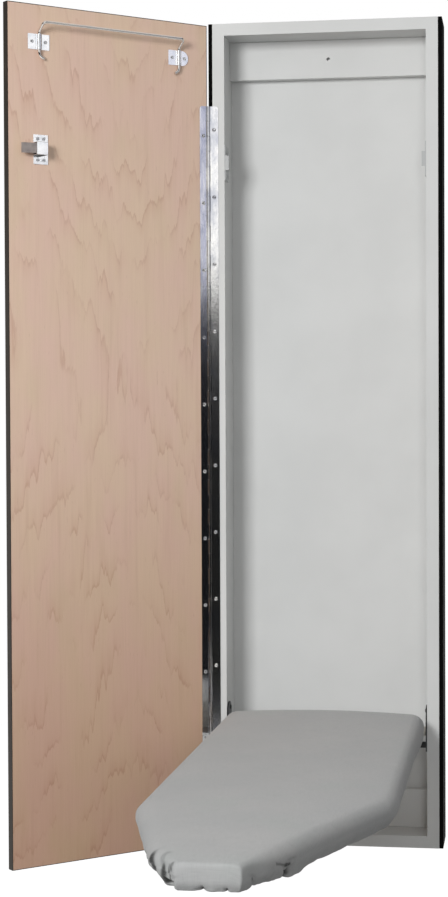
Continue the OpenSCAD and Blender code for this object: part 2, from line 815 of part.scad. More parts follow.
// The pad: flat below, drawn in at its foot, with a rounded shoulder and a crown
module board_pad() {
    high = top_face - cloth_t - soft_gap;
    color("khaki") skin_of_rings([
        ring(deck_inset + 1.5, deck_top),
        ring(deck_inset, deck_top + pad_t * 0.3),
        ring(deck_inset + 1, deck_top + pad_t * 0.55),
        for (k = [2 : 5]) ring(top_profile[k][0] + deck_inset, high + top_profile[k][1])]);
}

// The cover: cloth over the pad, a full side, and a hem gathered under the nose
module board_cover() {
    low = top_face - cloth_t;
    color("darkgray") skin_of_rings([
        for (k = [5 : -1 : 0]) ring(top_profile[k][0] + skirt_t, low + top_profile[k][1]),
        ring(skirt_t, deck_bottom),
        hem_ring(hem_in / 2 + hem_t, hem_z + hem_h),
        hem_ring(hem_in + hem_t, hem_z),
        hem_ring(hem_in, hem_z),
        hem_ring(hem_in / 2, hem_z + hem_h),
        ring(0, deck_bottom),
        for (p = top_profile) ring(p[0], top_face + p[1])]);
}

// The elastic that draws the hem in lies inside it all the way round
module hem_elastic() {
    color("white") translate([0, 0, hem_z + 0.5]) linear_extrude(4) difference() {
        polygon(board_outline(elastic_in));
        polygon(board_outline(elastic_in + elastic_t));
    }
}

// A steel channel along Y, open below
module rail(x) {
    y0 = crossbar_y - crossbar_w;
    difference() {
        block([x - rail_h / 2, y0 - rail_l, rail_bottom], [x + rail_h / 2, y0, deck_bottom]);
        block([x - rail_h / 2 + rail_t, y0 - rail_l - 1, rail_bottom - 1],
              [x + rail_h / 2 - rail_t, y0 + 1, deck_bottom - rail_t]);
        deck_screw_places() screw_bore(deck_screw_r + 0.2, deck_screw_l);
    }
}
module frame_rail_left() { color("slategray") rail(-rail_gap / 2); }
module frame_rail_right() { color("slategray") rail(rail_gap / 2); }

// The rear channel carries the ears on its two closed ends
module frame_crossbar_rear() {
    half = ear_x - ear_t;
    color("slategray") difference() {
        block([-half, crossbar_y - crossbar_w, rail_bottom], [half, crossbar_y, deck_bottom]);
        block([-half + rail_t, crossbar_y - crossbar_w + rail_t, rail_bottom - 1],
              [half - rail_t, crossbar_y - rail_t, deck_bottom - rail_t]);
        rivet_places() cylinder(r = rivet_r + screw_play, h = 20, center = true);
    }
}

module frame_crossbar_front() {
    y0 = crossbar_y - crossbar_w - rail_l;
    half = rail_gap / 2 + rail_h / 2;
    color("slategray") difference() {
        block([-half, y0 - crossbar_w, rail_bottom], [half, y0, deck_bottom]);
        block([-half + rail_t, y0 - crossbar_w + rail_t, rail_bottom - 1],
              [half - rail_t, y0 - rail_t, deck_bottom - rail_t]);
    }
}

// An ear's arm turns on the pivot, passes over the stop and under the rear hem, and ends
// in a taper beside the crossbar and the deck
ear_reach = 90;
ear_taper = 30;
ear_root = 8;
arm_gap = 0.8;
arm_start = [-10, 10];

module ear(side) {
    arm_low = pivot_h - ear_end_r;
    arm_high = hem_z - arm_gap;
    inside_y = crossbar_y - 2;
    reach_y = crossbar_y - crossbar_w - ear_reach;
    difference() {
        mirror([side > 0 ? 0 : 1, 0, 0]) translate([ear_x - ear_t, 0, 0]) rotate([90, 0, 90])
            linear_extrude(ear_t) union() {
                polygon([
                    [reach_y, deck_bottom], [reach_y, deck_bottom - ear_root],
                    [reach_y + ear_taper, rail_bottom], [inside_y, arm_low], [pivot_y, arm_low], [pivot_y, pivot_h],
                    [pivot_y + arm_start[0], pivot_h + arm_start[1]], [rear_y + ear_root, arm_high],
                    [inside_y, arm_high], [inside_y, deck_bottom]]);
                translate([pivot_y, pivot_h]) circle(r = ear_end_r);
            }
        at_pivot(side) cylinder(r = pivot_r + pivot_play, h = inner_w / 2);
        rivet_places() cylinder(r = rivet_r + screw_play, h = 20, center = true);
    }
}
module ear_left() { color("slategray") ear(-1); }
module ear_right() { color("slategray") ear(1); }

rivet_r = 2.4;
rivet_head_r = 4;
rivet_head_h = 1.5;

// Rivets through each ear and the crossbar's end, along X
module rivet_places() {
    for (side = [-1, 1], share = [0.25, 0.75])
        translate([side * (ear_x - ear_t), crossbar_y - crossbar_w * share, deck_bottom - rivet_head_r - 2])
            rotate([0, side * 90, 0]) children();
}
module ear_rivets() {
    color("silver") rivet_places() {
        translate([0, 0, -rail_t - rivet_head_h]) cylinder(r = rivet_head_r, h = rivet_head_h);
        translate([0, 0, -rail_t]) cylinder(r = rivet_r, h = ear_t + rail_t);
        translate([0, 0, ear_t]) cylinder(r = rivet_head_r, h = rivet_head_h);
    }
}

deck_screw_r = 1.9;
deck_screw_l = 10;
deck_head_r = 3.6;
deck_head_h = 2;
deck_screw_n = 4;
deck_screw_end = 40;

// Screws from inside the rails up into the deck
module deck_screw_places() {
    first = crossbar_y - crossbar_w - deck_screw_end;
    pitch = (rail_l - 2 * deck_screw_end) / (deck_screw_n - 1);
    for (side = [-1, 1], k = [0 : deck_screw_n - 1])
        translate([side * rail_gap / 2, first - k * pitch, deck_bottom - rail_t])
            rotate([180, 0, 0]) children();
}
module deck_screws() {
    color("silver") deck_screw_places()
        wood_screw(deck_screw_r, deck_screw_l, deck_head_r, deck_head_h);
}

side_panel_left();
side_panel_right();
top_panel();
bottom_panel();
back_panel();
upper_cleat();
lower_cleat();
side_skin_left();
side_skin_right();
carcass_screws();
hinge_leaf_cabinet();
hinge_pin();
hinge_screws_cabinet();
keeper_left();
keeper_right();
keeper_screws();
pivot_bracket_left();
pivot_bracket_right();
bracket_screws();
pivot_bolt_left();
pivot_bolt_right();
pivot_spacers();
stop_pin_left();
stop_pin_right();
stop_sleeves();
door_panel();
mirror_pane();
edge_band_free();
edge_band_hinge();
edge_band_top();
edge_band_bottom();
hinge_leaf_door();
hinge_screws_door();
bar_strap_left();
bar_strap_right();
strap_screws();
catch_plate();
catch_housing();
catch_screws();
catch_spring();
garment_bar();
catch_tongue();
board_deck();
board_pad();
board_cover();
hem_elastic();
frame_rail_left();
frame_rail_right();
frame_crossbar_rear();
frame_crossbar_front();
ear_left();
ear_right();
ear_rivets();
deck_screws();
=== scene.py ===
import math

import bmesh
import bpy
import numpy as np
from mathutils import Matrix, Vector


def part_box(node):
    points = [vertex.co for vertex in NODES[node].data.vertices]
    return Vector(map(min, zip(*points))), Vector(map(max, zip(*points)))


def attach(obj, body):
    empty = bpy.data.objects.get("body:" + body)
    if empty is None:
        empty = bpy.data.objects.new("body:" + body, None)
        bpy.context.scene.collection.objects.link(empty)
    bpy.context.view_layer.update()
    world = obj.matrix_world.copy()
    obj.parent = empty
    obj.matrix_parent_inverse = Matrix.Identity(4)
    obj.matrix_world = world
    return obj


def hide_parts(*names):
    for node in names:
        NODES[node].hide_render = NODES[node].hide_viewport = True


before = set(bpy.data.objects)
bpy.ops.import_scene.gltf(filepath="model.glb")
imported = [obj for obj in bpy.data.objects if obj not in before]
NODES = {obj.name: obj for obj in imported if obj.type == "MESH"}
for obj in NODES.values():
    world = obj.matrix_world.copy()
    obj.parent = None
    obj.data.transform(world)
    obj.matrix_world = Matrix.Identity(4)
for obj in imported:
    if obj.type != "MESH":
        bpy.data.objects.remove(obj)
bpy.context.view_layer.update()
MM = 0.001
RIGHT = np.array([1.0, 0.0, 0.0])
TO_ROOM = np.array([0.0, -1.0, 0.0])
UP = np.array([0.0, 0.0, 1.0])


def unit(vectors):
    """The vectors' directions, each of length 1."""
    return vectors / np.linalg.norm(vectors, axis=-1, keepdims=True)


def smooth_step(x, low, high):
    """0 below low, 1 above high, and 3t^2 - 2t^3 between."""
    t = np.clip((x - low) / (high - low), 0, 1)
    return t * t * (3 - 2 * t)


def add_object(name, data):
    """An object of that data, in the scene."""
    made = bpy.data.objects.new(name, data)
    bpy.context.scene.collection.objects.link(made)
    return made


def aim(thing, right, above, back, place):
    """Stands a camera or lamp at place, with its three axes along those directions."""
    axes = np.eye(4)
    axes[:3] = np.stack([right, above, back, place], 1)
    thing.matrix_world = Matrix(axes.tolist())


# The photograph's camera ----------------------------------------------------

PHOTO_HEIGHT = 897
SENSOR = 36


def place_camera():
    """The camera stands where the photograph was taken from. Its aim is a turn to the left,
    a slight dip and a slight roll, and its focal length is given in the photograph's pixels."""
    eye = (0.3240, -3.2601, 0.0472)
    turn, rise, roll = 0.1537, -0.0217, -0.0043
    focal = 1951.4
    level = np.array([-math.sin(turn), math.cos(turn), 0])
    ahead = level * math.cos(rise) + UP * math.sin(rise)
    right = np.array([math.cos(turn), math.sin(turn), 0])
    above = np.cross(right, ahead)
    right, above = (math.cos(roll) * right + math.sin(roll) * above,
                    math.cos(roll) * above - math.sin(roll) * right)
    data = bpy.data.cameras.new("camera")
    data.sensor_width = SENSOR
    data.lens = focal / PHOTO_HEIGHT * SENSOR
    camera = add_object("camera", data)
    aim(camera, right, above, -ahead, eye)
    bpy.context.scene.camera = camera


place_camera()


# The door's own frame: s runs across it from the hinge axis, n off its inner face -----

DOOR_OPEN = math.radians(136.7)
PIN_LOW, PIN_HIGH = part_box("hinge_pin")
HINGE = np.array([(PIN_LOW.x + PIN_HIGH.x) / 2, (PIN_LOW.y + PIN_HIGH.y) / 2, 0])
KNUCKLE = 2.5 * MM
ACROSS_DOOR = np.array([math.cos(DOOR_OPEN), -math.sin(DOOR_OPEN), 0])
OFF_DOOR = np.array([math.sin(DOOR_OPEN), math.cos(DOOR_OPEN), 0])


def mesh_points(node):
    """A node's own points, one row each."""
    mesh = NODES[node].data
    points = np.empty(len(mesh.vertices) * 3, np.float32)
    mesh.vertices.foreach_get("co", points)
    return points.reshape(-1, 3).astype(float)


def to_door(points):
    """Points of the row frame as (s, n, z) on the door."""
    from_axis = points - HINGE
    s, n = from_axis @ ACROSS_DOOR, from_axis @ OFF_DOOR + KNUCKLE
    return np.stack([s, n, from_axis[..., 2]], -1)


def from_door(spots):
    """Points given as (s, n, z) on the door, in the row frame."""
    s, n, z = spots[..., :1], spots[..., 1:2], spots[..., 2:]
    return HINGE + s * ACROSS_DOOR + (n - KNUCKLE) * OFF_DOOR + z * UP


def door_box(node):
    """Lowest and highest (s, n, z) of a node on the door."""
    spots = to_door(mesh_points(node))
    return spots.min(0), spots.max(0)


# Shader sums ----------------------------------------------------------------


def shade(red, green, blue):
    """A colour written as it looks on screen, 0 to 255 a channel, in a shader's linear values."""
    seen = np.array([red, green, blue]) / 255
    linear = np.where(seen <= 0.04045, seen / 12.92, ((seen + 0.055) / 1.055) ** 2.4)
    return tuple(float(v) for v in linear)


class Field:
    """What a node gives: a number that Python's sums extend with Math nodes, or a colour,
    vector or shader that other nodes take as it is."""

    def __init__(self, paint, socket):
        self.paint = paint
        self.socket = socket

    def through(self, operation, *terms):
        return self.paint.node("ShaderNodeMath", dict(enumerate(terms)), operation=operation)

    def __add__(self, other):
        return self.through("ADD", self, other)

    def __mul__(self, other):
        return self.through("MULTIPLY", self, other)

    def __sub__(self, other):
        return self.through("SUBTRACT", self, other)

    def __rsub__(self, other):
        return self.through("SUBTRACT", other, self)

    def __pow__(self, other):
        return self.through("POWER", self, other)

    __radd__ = __add__
    __rmul__ = __mul__

    def wave(self):
        return self.through("SINE", self)

    def part(self):
        return self.through("FRACT", self)

    def ease(self, low, high):
        """0 below low, 1 above high and a smooth step between."""
        stops = {"Value": self, "From Min": low, "From Max": high}
        return self.paint.node("ShaderNodeMapRange", stops, interpolation_type="SMOOTHSTEP")


class Paint:
    """A material or world in the making, with one method that makes any of its nodes."""

    def __init__(self, name, world=None):
        self.owner = world or bpy.data.materials.new(name)
        self.owner.use_nodes = True
        self.tree = self.owner.node_tree
        self.skin = self.tree.nodes.get("Principled BSDF")

    def node(self, kind, inputs=(), output=0, **settings):
        """A node of that kind: its settings first, then the values or links of its sockets."""
        made = self.tree.nodes.new(kind)
        for name, value in settings.items():
            setattr(made, name, value)
        for key, value in dict(inputs).items():
            self.feed(made.inputs[key], value)
        return Field(self, made.outputs[output]) if made.outputs else made

    def feed(self, socket, value):
        if isinstance(value, Field):
            self.tree.links.new(value.socket, socket)
        elif socket.type == "RGBA" and len(value) == 3:
            socket.default_value = (*value, 1)
        else:
            socket.default_value = value

    def set(self, **sockets):
        """Feeds the shader's sockets; Base_Color is its Base Color, and so on."""
        for name, value in sockets.items():
            self.feed(self.skin.inputs[name.replace("_", " ")], value)
        return self.owner

    def place(self, scale=(1, 1, 1), origin=(0, 0, 0), turn=0):
        """The surface's own place in metres, in a frame at origin turned round Z, then scaled."""
        own = self.node("ShaderNodeTexCoord", output="Object")
        sockets = {"Vector": own, "Location": origin, "Rotation": (0, 0, turn)}
        turned = self.node("ShaderNodeMapping", sockets, vector_type="TEXTURE")
        return self.stretch(turned, scale)

    def stretch(self, vector, scale):
        return self.node("ShaderNodeVectorMath", {0: vector, 1: scale}, operation="MULTIPLY")

    def shift(self, vector, other):
        return self.node("ShaderNodeVectorMath", {0: vector, 1: other}, operation="ADD")

    def axis(self, vector, name):
        return self.node("ShaderNodeSeparateXYZ", {0: vector}, output=name)

    def noise(self, vector, scale, detail=2, rough=0.5, warp=0):
        """Cloudy noise from 0 to 1, about scale clouds to a metre."""
        sockets = {"Vector": vector, "Scale": scale, "Detail": detail, "Roughness": rough,
                   "Distortion": warp}
        return self.node("ShaderNodeTexNoise", sockets)

    def mix(self, share, first, second, how="MIX"):
        """Two colours mixed, first where share is 0."""
        return self.node("ShaderNodeMix", {0: share, 6: first, 7: second}, output=2,
                         data_type="RGBA", blend_type=how)

    def coats(self, base, *layers):
        """A screen colour under layers, each a share and the screen colour that it mixes in."""
        colour = shade(*base)
        for share, tone in layers:
            colour = self.mix(share, colour, shade(*tone))
        return colour

    def ray(self, kind):
        """1 where the ray is of that kind, and 0 elsewhere."""
        return self.node("ShaderNodeLightPath", output=f"Is {kind} Ray")

    def own(self, kind):
        """The node of that kind which the tree had from the start."""
        return next(node for node in self.tree.nodes if node.type == kind)

    def bump(self, height, depth, under=None):
        """A surface normal tipped by height, whose full swing is depth metres."""
        sockets = {"Height": height, "Distance": depth, "Strength": 1.0}
        if under is not None:
            sockets["Normal"] = under
        return self.node("ShaderNodeBump", sockets)


# Finishes -------------------------------------------------------------------


def melamine():
    """Grey board facing: a faint cloud, a fine speckle and an orange-peel skin."""
    paint = Paint("melamine")
    at = paint.place()
    cloud = paint.noise(at, 7, 3)
    speck = paint.noise(at, 1500, 2)
    colour = paint.coats((210, 211, 210), (cloud.ease(0.3, 0.7), (205, 206, 205)),
                         (speck.ease(0.58, 0.8) * 0.12, (150, 150, 148)))
    peel = paint.noise(at, 420, 2)
    return paint.set(Base_Color=colour, Roughness=0.42 + 0.12 * cloud,
                     Normal=paint.bump(peel, 0.00005), Specular_IOR_Level=0.35)


def laminate():
    """Black facing with fine upright pores, a little dustier in patches."""
    paint = Paint("laminate")
    at = paint.place((1, 1, 0.03))
    pores = paint.noise(at, 2600, 2)
    dust = paint.noise(paint.place(), 18, 4)
    colour = paint.coats((6, 6, 6), (dust.ease(0.45, 0.8) * 0.5, (12, 12, 11)))
    return paint.set(Base_Color=colour, Roughness=0.55 + 0.2 * dust,
                     Normal=paint.bump(pores, 0.00006), Specular_IOR_Level=0.06)


def edge_band():
    """The door's dark brown edge band, brushed along its length, with paler rubbed spots."""
    paint = Paint("edge_band")
    brushed = paint.noise(paint.place((1, 1, 0.02)), 3000, 2)
    rubbed = paint.noise(paint.place((1, 1, 0.25)), 60, 4)
    colour = paint.coats((50, 44, 38), (rubbed.ease(0.6, 0.8) * 0.4, (92, 82, 72)))
    return paint.set(Base_Color=colour, Roughness=0.4 + 0.15 * rubbed,
                     Normal=paint.bump(brushed, 0.00005))


def metal(name, colour, dark, rough, spread, grain=300, depth=0.00002, patch=25, metallic=1.0):
    """Plated or bare metal: colour and gloss wander in patches, over a fine uneven skin."""
    paint = Paint(name)
    at = paint.place()
    patches = paint.noise(at, patch, 4, 0.6)
    skin = paint.noise(at, grain, 3, 0.6)
    tone = paint.coats(colour, (patches.ease(0.35, 0.75), dark))
    return paint.set(Base_Color=tone, Metallic=metallic, Roughness=rough + spread * patches,
                     Normal=paint.bump(skin, depth))


def nickel():
    """Cold-rolled hinge strip, plated: a long rolled waviness, mottled spangles and small pits."""
    paint = Paint("nickel")
    at = paint.place()
    rolled = paint.noise(paint.place((1, 1, 0.22)), 95, 3, 0.6)
    spangle = paint.noise(at, 260, 4, 0.65)
    cloud = paint.noise(paint.place((1, 1, 0.4)), 40, 4, 0.6)
    pit = paint.noise(at, 620, 2)
    colour = paint.coats((233, 232, 230), (cloud.ease(0.42, 0.72), (186, 188, 196)),
                         (spangle.ease(0.55, 0.75) * 0.45, (150, 152, 158)))
    wavy = paint.bump(rolled, 0.00009)
    fine = paint.bump(spangle + 0.5 * pit, 0.000016, wavy)
    return paint.set(Base_Color=colour, Metallic=1.0, Roughness=0.05 + 0.08 * cloud, Normal=fine)


def enamel(name, colour, dark, rough=0.4, depth=0.00007, grain=700):
    """Sprayed or dipped coat with a fine orange peel and slightly duller patches."""
    paint = Paint(name)
    at = paint.place()
    peel = paint.noise(at, grain, 2)
    patches = paint.noise(at, 30, 3)
    tone = paint.coats(colour, (patches, dark))
    return paint.set(Base_Color=tone, Roughness=rough + 0.15 * patches,
                     Normal=paint.bump(peel, depth))


def maple():
    """Rotary-cut maple. Its growth rings are level lines of a saddle, sqrt((z - z0)^2 + h^2)
    less 1.35 sqrt((s - s0)^2 + w^2), so that they form V shapes in the door's upper part and
    arches in its lower part. Slow hills shift them, noise stretched up the door tears them into
    teeth, and each is sharp on one side and fades on the other. Pinkish and greenish clouds,
    upright fibres and short flecks lie under them, and a painted shade darkens the veneer
    towards the foot, in place of the light that falls off down the door."""
    heart_s, heart_z = 0.15, 0.08
    rings_per_metre = 13
    paint = Paint("maple")
    at = paint.place((1, 1, 1), tuple(HINGE), -DOOR_OPEN)
    up, side = paint.axis(at, "Z"), paint.axis(at, "X")

    def cloud(rise, *settings):
        return paint.noise(paint.stretch(at, (1, 1, rise)), *settings)

    slow, tears, fine_tears = cloud(0.6, 4.5), cloud(0.05, 48, 2, 0.6), cloud(0.08, 190, 3, 0.6)
    rise = ((up - heart_z) ** 2 + 0.0036) ** 0.5
    swell = ((side - heart_s) ** 2 + 0.0006) ** 0.5
    saddle = rise - 1.35 * swell + 0.24 * slow + 0.13 * tears + 0.045 * fine_tears
    ring = (saddle * rings_per_metre).part()
    line = ring.ease(0.84, 0.97) * (1 - ring.ease(0.97, 1.0))
    halo = ring.ease(0.4, 0.95) * (1 - ring.ease(0.95, 1.0))
    strength = cloud(0.4, 17, 3).ease(0.42, 0.62)
    fibre, streak = cloud(0.012, 900, 3, 0.6), cloud(0.05, 70, 4, 0.6)
    fleck, blush = cloud(0.14, 520, 2).ease(0.66, 0.78), cloud(0.45, 11, 3, 0.55)
    green = paint.noise(paint.shift(paint.stretch(at, (1, 1, 0.4)), (7, 3, 5)), 13, 2)
    colour = paint.coats(
        (229, 202, 178), (blush.ease(0.35, 0.66), (230, 198, 181)),
        (green.ease(0.55, 0.75) * 0.45, (219, 198, 167)),
        (streak.ease(0.5, 0.8) * 0.3, (209, 176, 152)), (halo * strength * 0.22, (204, 162, 140)),
        (line * strength * 0.3, (180, 132, 110)), (fleck * 0.16, (170, 130, 104)),
        (fibre.ease(0.3, 0.75) * 0.12, (186, 152, 128)))
    # Painted shade: the veneer is darkened towards the door's foot in place of the light falling
    # off down the door
    foot = 1 - (up + 0.7).ease(0, 0.85)
    colour = paint.mix(foot * 0.5, colour, shade(178, 142, 108), "MULTIPLY")
    return paint.set(Base_Color=colour, Roughness=0.46 + 0.12 * streak,
                     Normal=paint.bump(fibre, 0.00006), Specular_IOR_Level=0.4)


def mirror():
    """Silvered glass: a bright face with hardly any haze."""
    paint = Paint("mirror_glass")
    haze = paint.noise(paint.place(), 6, 3)
    colour = paint.coats((236, 240, 239), (haze, (228, 235, 233)))
    return paint.set(Base_Color=colour, Metallic=1.0, Roughness=0.012 + 0.012 * haze,
                     Coat_Weight=1.0, Coat_Roughness=0.0)


def plywood(low, high):
    """Seven plies from low to high, every second one end grain, under a birch face. Their
    boundaries lie a little off low and high, so that each face is one ply."""
    plies = 7
    paint = Paint("birch_ply")
    at = paint.place()
    height = paint.axis(at, "Z")
    ply = (height - low) * (plies * 0.985 / (2 * (high - low))) + 0.025
    end_grain = ply.part().ease(0.48, 0.52)
    grain = paint.noise(paint.stretch(at, (1, 0.06, 1)), 160, 4, 0.6)
    pores = paint.noise(paint.stretch(at, (1, 1, 0.5)), 1600, 2)
    face = paint.coats((222, 196, 154), (grain.ease(0.35, 0.7), (196, 162, 116)))
    end = paint.coats((178, 138, 92), (pores, (140, 102, 64)))
    colour = paint.mix(end_grain * 0.8, face, end)
    return paint.set(Base_Color=colour, Roughness=0.62,
                     Normal=paint.bump(grain + 0.4 * pores, 0.0001))


def felt():
    """Matted needle felt: a tangle of short fibres with paler tufts."""
    paint = Paint("needle_felt")
    at = paint.place()
    tangle = paint.noise(at, 900, 4, 0.7, 1.5)
    tuft = paint.noise(at, 90, 3)
    colour = paint.coats((206, 200, 182), (tangle.ease(0.3, 0.7), (232, 228, 214)),
                         (tuft.ease(0.5, 0.8) * 0.4, (186, 178, 160)))
    return paint.set(Base_Color=colour, Roughness=0.95, Sheen_Weight=0.3,
                     Normal=paint.bump(tangle, 0.0005))


def cotton():
    """Plain-woven grey cotton on the cloth's own flat map: each thread is a half wave that
    dips where the other set crosses it, with slubs, faint soiling and a soft sheen. Where it
    is tucked deep into a gather, a painted shade darkens it in place of the fold's shadow."""
    paint = Paint("cotton_cover")
    flat = paint.node("ShaderNodeUVMap", uv_map="cloth")
    thread = 0.62 * MM
    wander = paint.noise(flat, 220, 2)
    turns = 2 * math.pi / thread
    warp = paint.axis(flat, "X") * turns + wander * 1.4
    weft = paint.axis(flat, "Y") * turns + wander * 1.1
    weave = warp.wave() * weft.wave() * 0.5 + 0.5
    slub_warp = paint.noise(paint.stretch(flat, (1, 0.05, 1)), 900, 3)
    slub_weft = paint.noise(paint.stretch(flat, (0.05, 1, 1)), 900, 3)
    slub = slub_warp * 0.5 + slub_weft * 0.5
    cloud = paint.noise(flat, 5, 3, 0.55)
    tint = paint.noise(flat, 9, 2)
    # Painted shade: this attribute marks the deep gathers, where the cloth is darkened in place of
    # the fold's shadow
    painted_tuck_amount = paint.node("ShaderNodeAttribute", attribute_name="painted_tuck_shade", output="Fac")
    colour = paint.coats((170, 171, 171), (cloud.ease(0.3, 0.7), (177, 177, 176)),
                         (tint.ease(0.5, 0.75) * 0.5, (169, 174, 171)),
                         (slub.ease(0.42, 0.68) * 0.3, (136, 138, 138)),
                         # The last coat is that painted shade, nearly black
                         (weave * 0.16, (122, 123, 123)), (painted_tuck_amount * 0.93, (16, 15, 13)))
    pucker = paint.noise(flat, 46, 3)
    relief = paint.bump(weave + 0.6 * slub, 0.00012, paint.bump(pucker, 0.0004))
    return paint.set(Base_Color=colour, Roughness=0.78 + 0.12 * cloud, Normal=relief,
                     Sheen_Weight=0.2, Sheen_Roughness=0.4, Specular_IOR_Level=0.2)


def elastic():
    """Knitted elastic: rows of ribs across the band."""
    paint = Paint("knit_elastic")
    flat = paint.node("ShaderNodeUVMap", uv_map="cloth")
    rib, row = 1.1 * MM, 0.8 * MM
    ribs = (paint.axis(flat, "X") * (2 * math.pi / rib)).wave() * 0.5 + 0.5
    rows = (paint.axis(flat, "Y") * (2 * math.pi / row)).wave() * 0.5 + 0.5
    knit = ribs * rows
    colour = paint.coats((206, 204, 198), (knit, (236, 234, 228)))
    return paint.set(Base_Color=colour, Roughness=0.8, Normal=paint.bump(knit, 0.0002),
                     Sheen_Weight=0.2)


DECK_LOW, DECK_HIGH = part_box("board_deck")
FINISHES = {
    "grey_melamine": melamine(),
    "black_laminate": laminate(),
    "dark_steel": metal("dark_steel", (84, 85, 86), (52, 52, 54), 0.3, 0.2),
    "grey_enamel": enamel("enamel", (182, 184, 184), (176, 178, 178), 0.32),
    "nickel": nickel(),
    "zinc": metal("zinc_plate", (250, 250, 251), (236, 239, 243), 0.13, 0.1, 500, 0.000006, 60),
    "chrome": metal("chrome", (236, 230, 224), (222, 219, 216), 0.03, 0.04, 200, 0.000006),
    "spring_steel": metal("spring_steel", (150, 148, 144), (112, 110, 108), 0.22, 0.15),
    "grey_steel": enamel("coated_steel", (126, 129, 132), (112, 115, 118), 0.42, 0.00012, 520),
    "nylon": enamel("nylon", (232, 229, 220), (222, 218, 207), 0.36, 0.00004),
    "black_rubber": enamel("rubber", (30, 30, 31), (44, 43, 43), 0.7, 0.00008, 1500),
    "maple_veneer": maple(),
    "mirror": mirror(),
    "plywood": plywood(DECK_LOW.z, DECK_HIGH.z),
    "felt": felt(),
    "cotton": cotton(),
    "elastic": elastic(),
}
EDGE_BAND = edge_band()
# The nodes whose finish isn't the one that their CAD material names
OWN_FINISH = {name: EDGE_BAND for name in NODES if name.startswith("edge_band")}
OWN_FINISH["catch_tongue"] = metal("polished_casting", (186, 176, 172), (158, 148, 146), 0.3, 0.1,
                                   260, 0.00003, 90, 0.45)


# The solids that stay: finish, rounded edges and smooth shading -------------

# Edge rounding in millimetres of the nodes whose real edges are broken or rolled, without the
# side that a name ends in
ROUNDED = {
    "side_panel": 0.8, "top_panel": 0.6, "bottom_panel": 0.6, "upper_cleat": 0.9,
    "lower_cleat": 0.9, "side_skin": 0.7, "keeper": 0.35, "pivot_bracket": 0.5,
    "bar_strap": 0.3, "catch_plate": 0.35, "catch_housing": 0.6, "frame_rail": 0.5,
    "frame_crossbar_rear": 0.5, "frame_crossbar_front": 0.5, "ear": 0.6, "edge_band_free": 0.4,
    "edge_band_hinge": 0.3, "edge_band_top": 0.3, "edge_band_bottom": 0.3,
}


def dress_node(name, node):
    """A node takes its finish; where its edges are broken, it is welded, bevelled and shaded
    anew."""
    slot = node.material_slots[0]
    slot.material = OWN_FINISH.get(name) or FINISHES[slot.material.name]
    rounding = ROUNDED.get(name.removesuffix("_left").removesuffix("_right"))
    if rounding is None:
        return
    weld = node.modifiers.new("weld", "WELD")
    weld.merge_threshold = 0.01 * MM
    bevel = node.modifiers.new("bevel", "BEVEL")
    bevel.width = rounding * MM
    bevel.segments = 2
    bevel.limit_method = "ANGLE"
    bevel.angle_limit = math.radians(50)
    shading = node.modifiers.new("shading", "WEIGHTED_NORMAL")
    shading.keep_sharp = True


for node_name, node_object in NODES.items():
    dress_node(node_name, node_object)


# New surfaces ---------------------------------------------------------------


def grid_faces(rows, columns, wrap=False, first=0):
    """Quads between neighbouring rows of a grid of points, closed round where wrap is set."""
    across = np.arange(columns if wrap else columns - 1)
    start = np.arange(rows - 1)[:, None] * columns
    near, far = start + across, start + (across + 1) % columns
    return np.stack([near, far, far + columns, near + columns], -1).reshape(-1, 4) + first


def belt_faces(near, far):
    """Quads between two closed loops of points."""
    return np.stack([near, far, np.roll(far, -1), np.roll(near, -1)], -1)


def fan_faces(tip, ring, forward):
    """Triangles from one point to a closed ring of points."""
    onward = np.roll(ring, -1)
    pair = (ring, onward) if forward else (onward, ring)
    return np.stack([np.full(len(ring), tip), *pair], -1)


def make_piece(name, points, faces, slot, body, replaced=()):
    """A smooth mesh of those points and faces, riding on a body in place of CAD nodes."""
    mesh = bpy.data.meshes.new(name)
    corners = [list(map(int, face)) for face in faces]
    mesh.from_pydata(np.asarray(points).reshape(-1, 3).tolist(), [], corners)
    mesh.polygons.foreach_set("use_smooth", np.ones(len(mesh.polygons), bool))
    mesh.materials.append(FINISHES[slot])
    mesh.update()
    piece = add_object(name, mesh)
    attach(piece, body)
    if replaced:
        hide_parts(*replaced)
    return piece


def face_outwards(piece):
    """Points every face of a closed mesh outwards."""
    work = bmesh.new()
    work.from_mesh(piece.data)
    bmesh.ops.recalc_face_normals(work, faces=work.faces)
    work.to_mesh(piece.data)
    work.free()


def face_corners(mesh):
    """The index of the point at each corner of a mesh's faces."""
    corner = np.empty(len(mesh.loops), int)
    mesh.loops.foreach_get("vertex_index", corner)
    return corner


def map_cloth(piece, flat):
    """Gives a mesh its cloth's flat map, from one flat point to each of its points."""
    layer = piece.data.uv_layers.new(name="cloth")
    layer.data.foreach_set("uv", flat[face_corners(piece.data)].astype(np.float32).ravel())


def swept(path, outward, radius, sides):
    """Rings of a round tube: about each path point, radius times the cosine along outward and
    the sine along the direction square to outward and the path."""
    tangent = unit(np.gradient(path, axis=0))
    aside = unit(np.cross(tangent, outward))
    square = np.cross(aside, tangent)
    turn = np.linspace(0, 2 * math.pi, sides, endpoint=False)[:, None]
    around = np.cos(turn) * square[:, None] + np.sin(turn) * aside[:, None]
    return path[:, None] + radius * around


def closed_tube(rings):
    """Points and faces of stacked rings, with a point closing each end."""
    rows, sides = rings.shape[:2]
    points = np.concatenate([rings.reshape(-1, 3), [rings[0].mean(0), rings[-1].mean(0)]])
    last = (rows - 1) * sides + np.arange(sides)
    first_tip = rows * sides
    faces = [*grid_faces(rows, sides, True), *fan_faces(first_tip, np.arange(sides), False),
             *fan_faces(first_tip + 1, last, True)]
    return points, faces


# Screws ---------------------------------------------------------------------

SCREW_SIDES = 40


def recess_arm(along, aside):
    """One bar of a cross recess: 1 inside it and 0 outside, in shares of the head's radius."""
    return smooth_step(-np.abs(aside), -0.17, -0.1) * smooth_step(-np.abs(along), -0.6, -0.5)


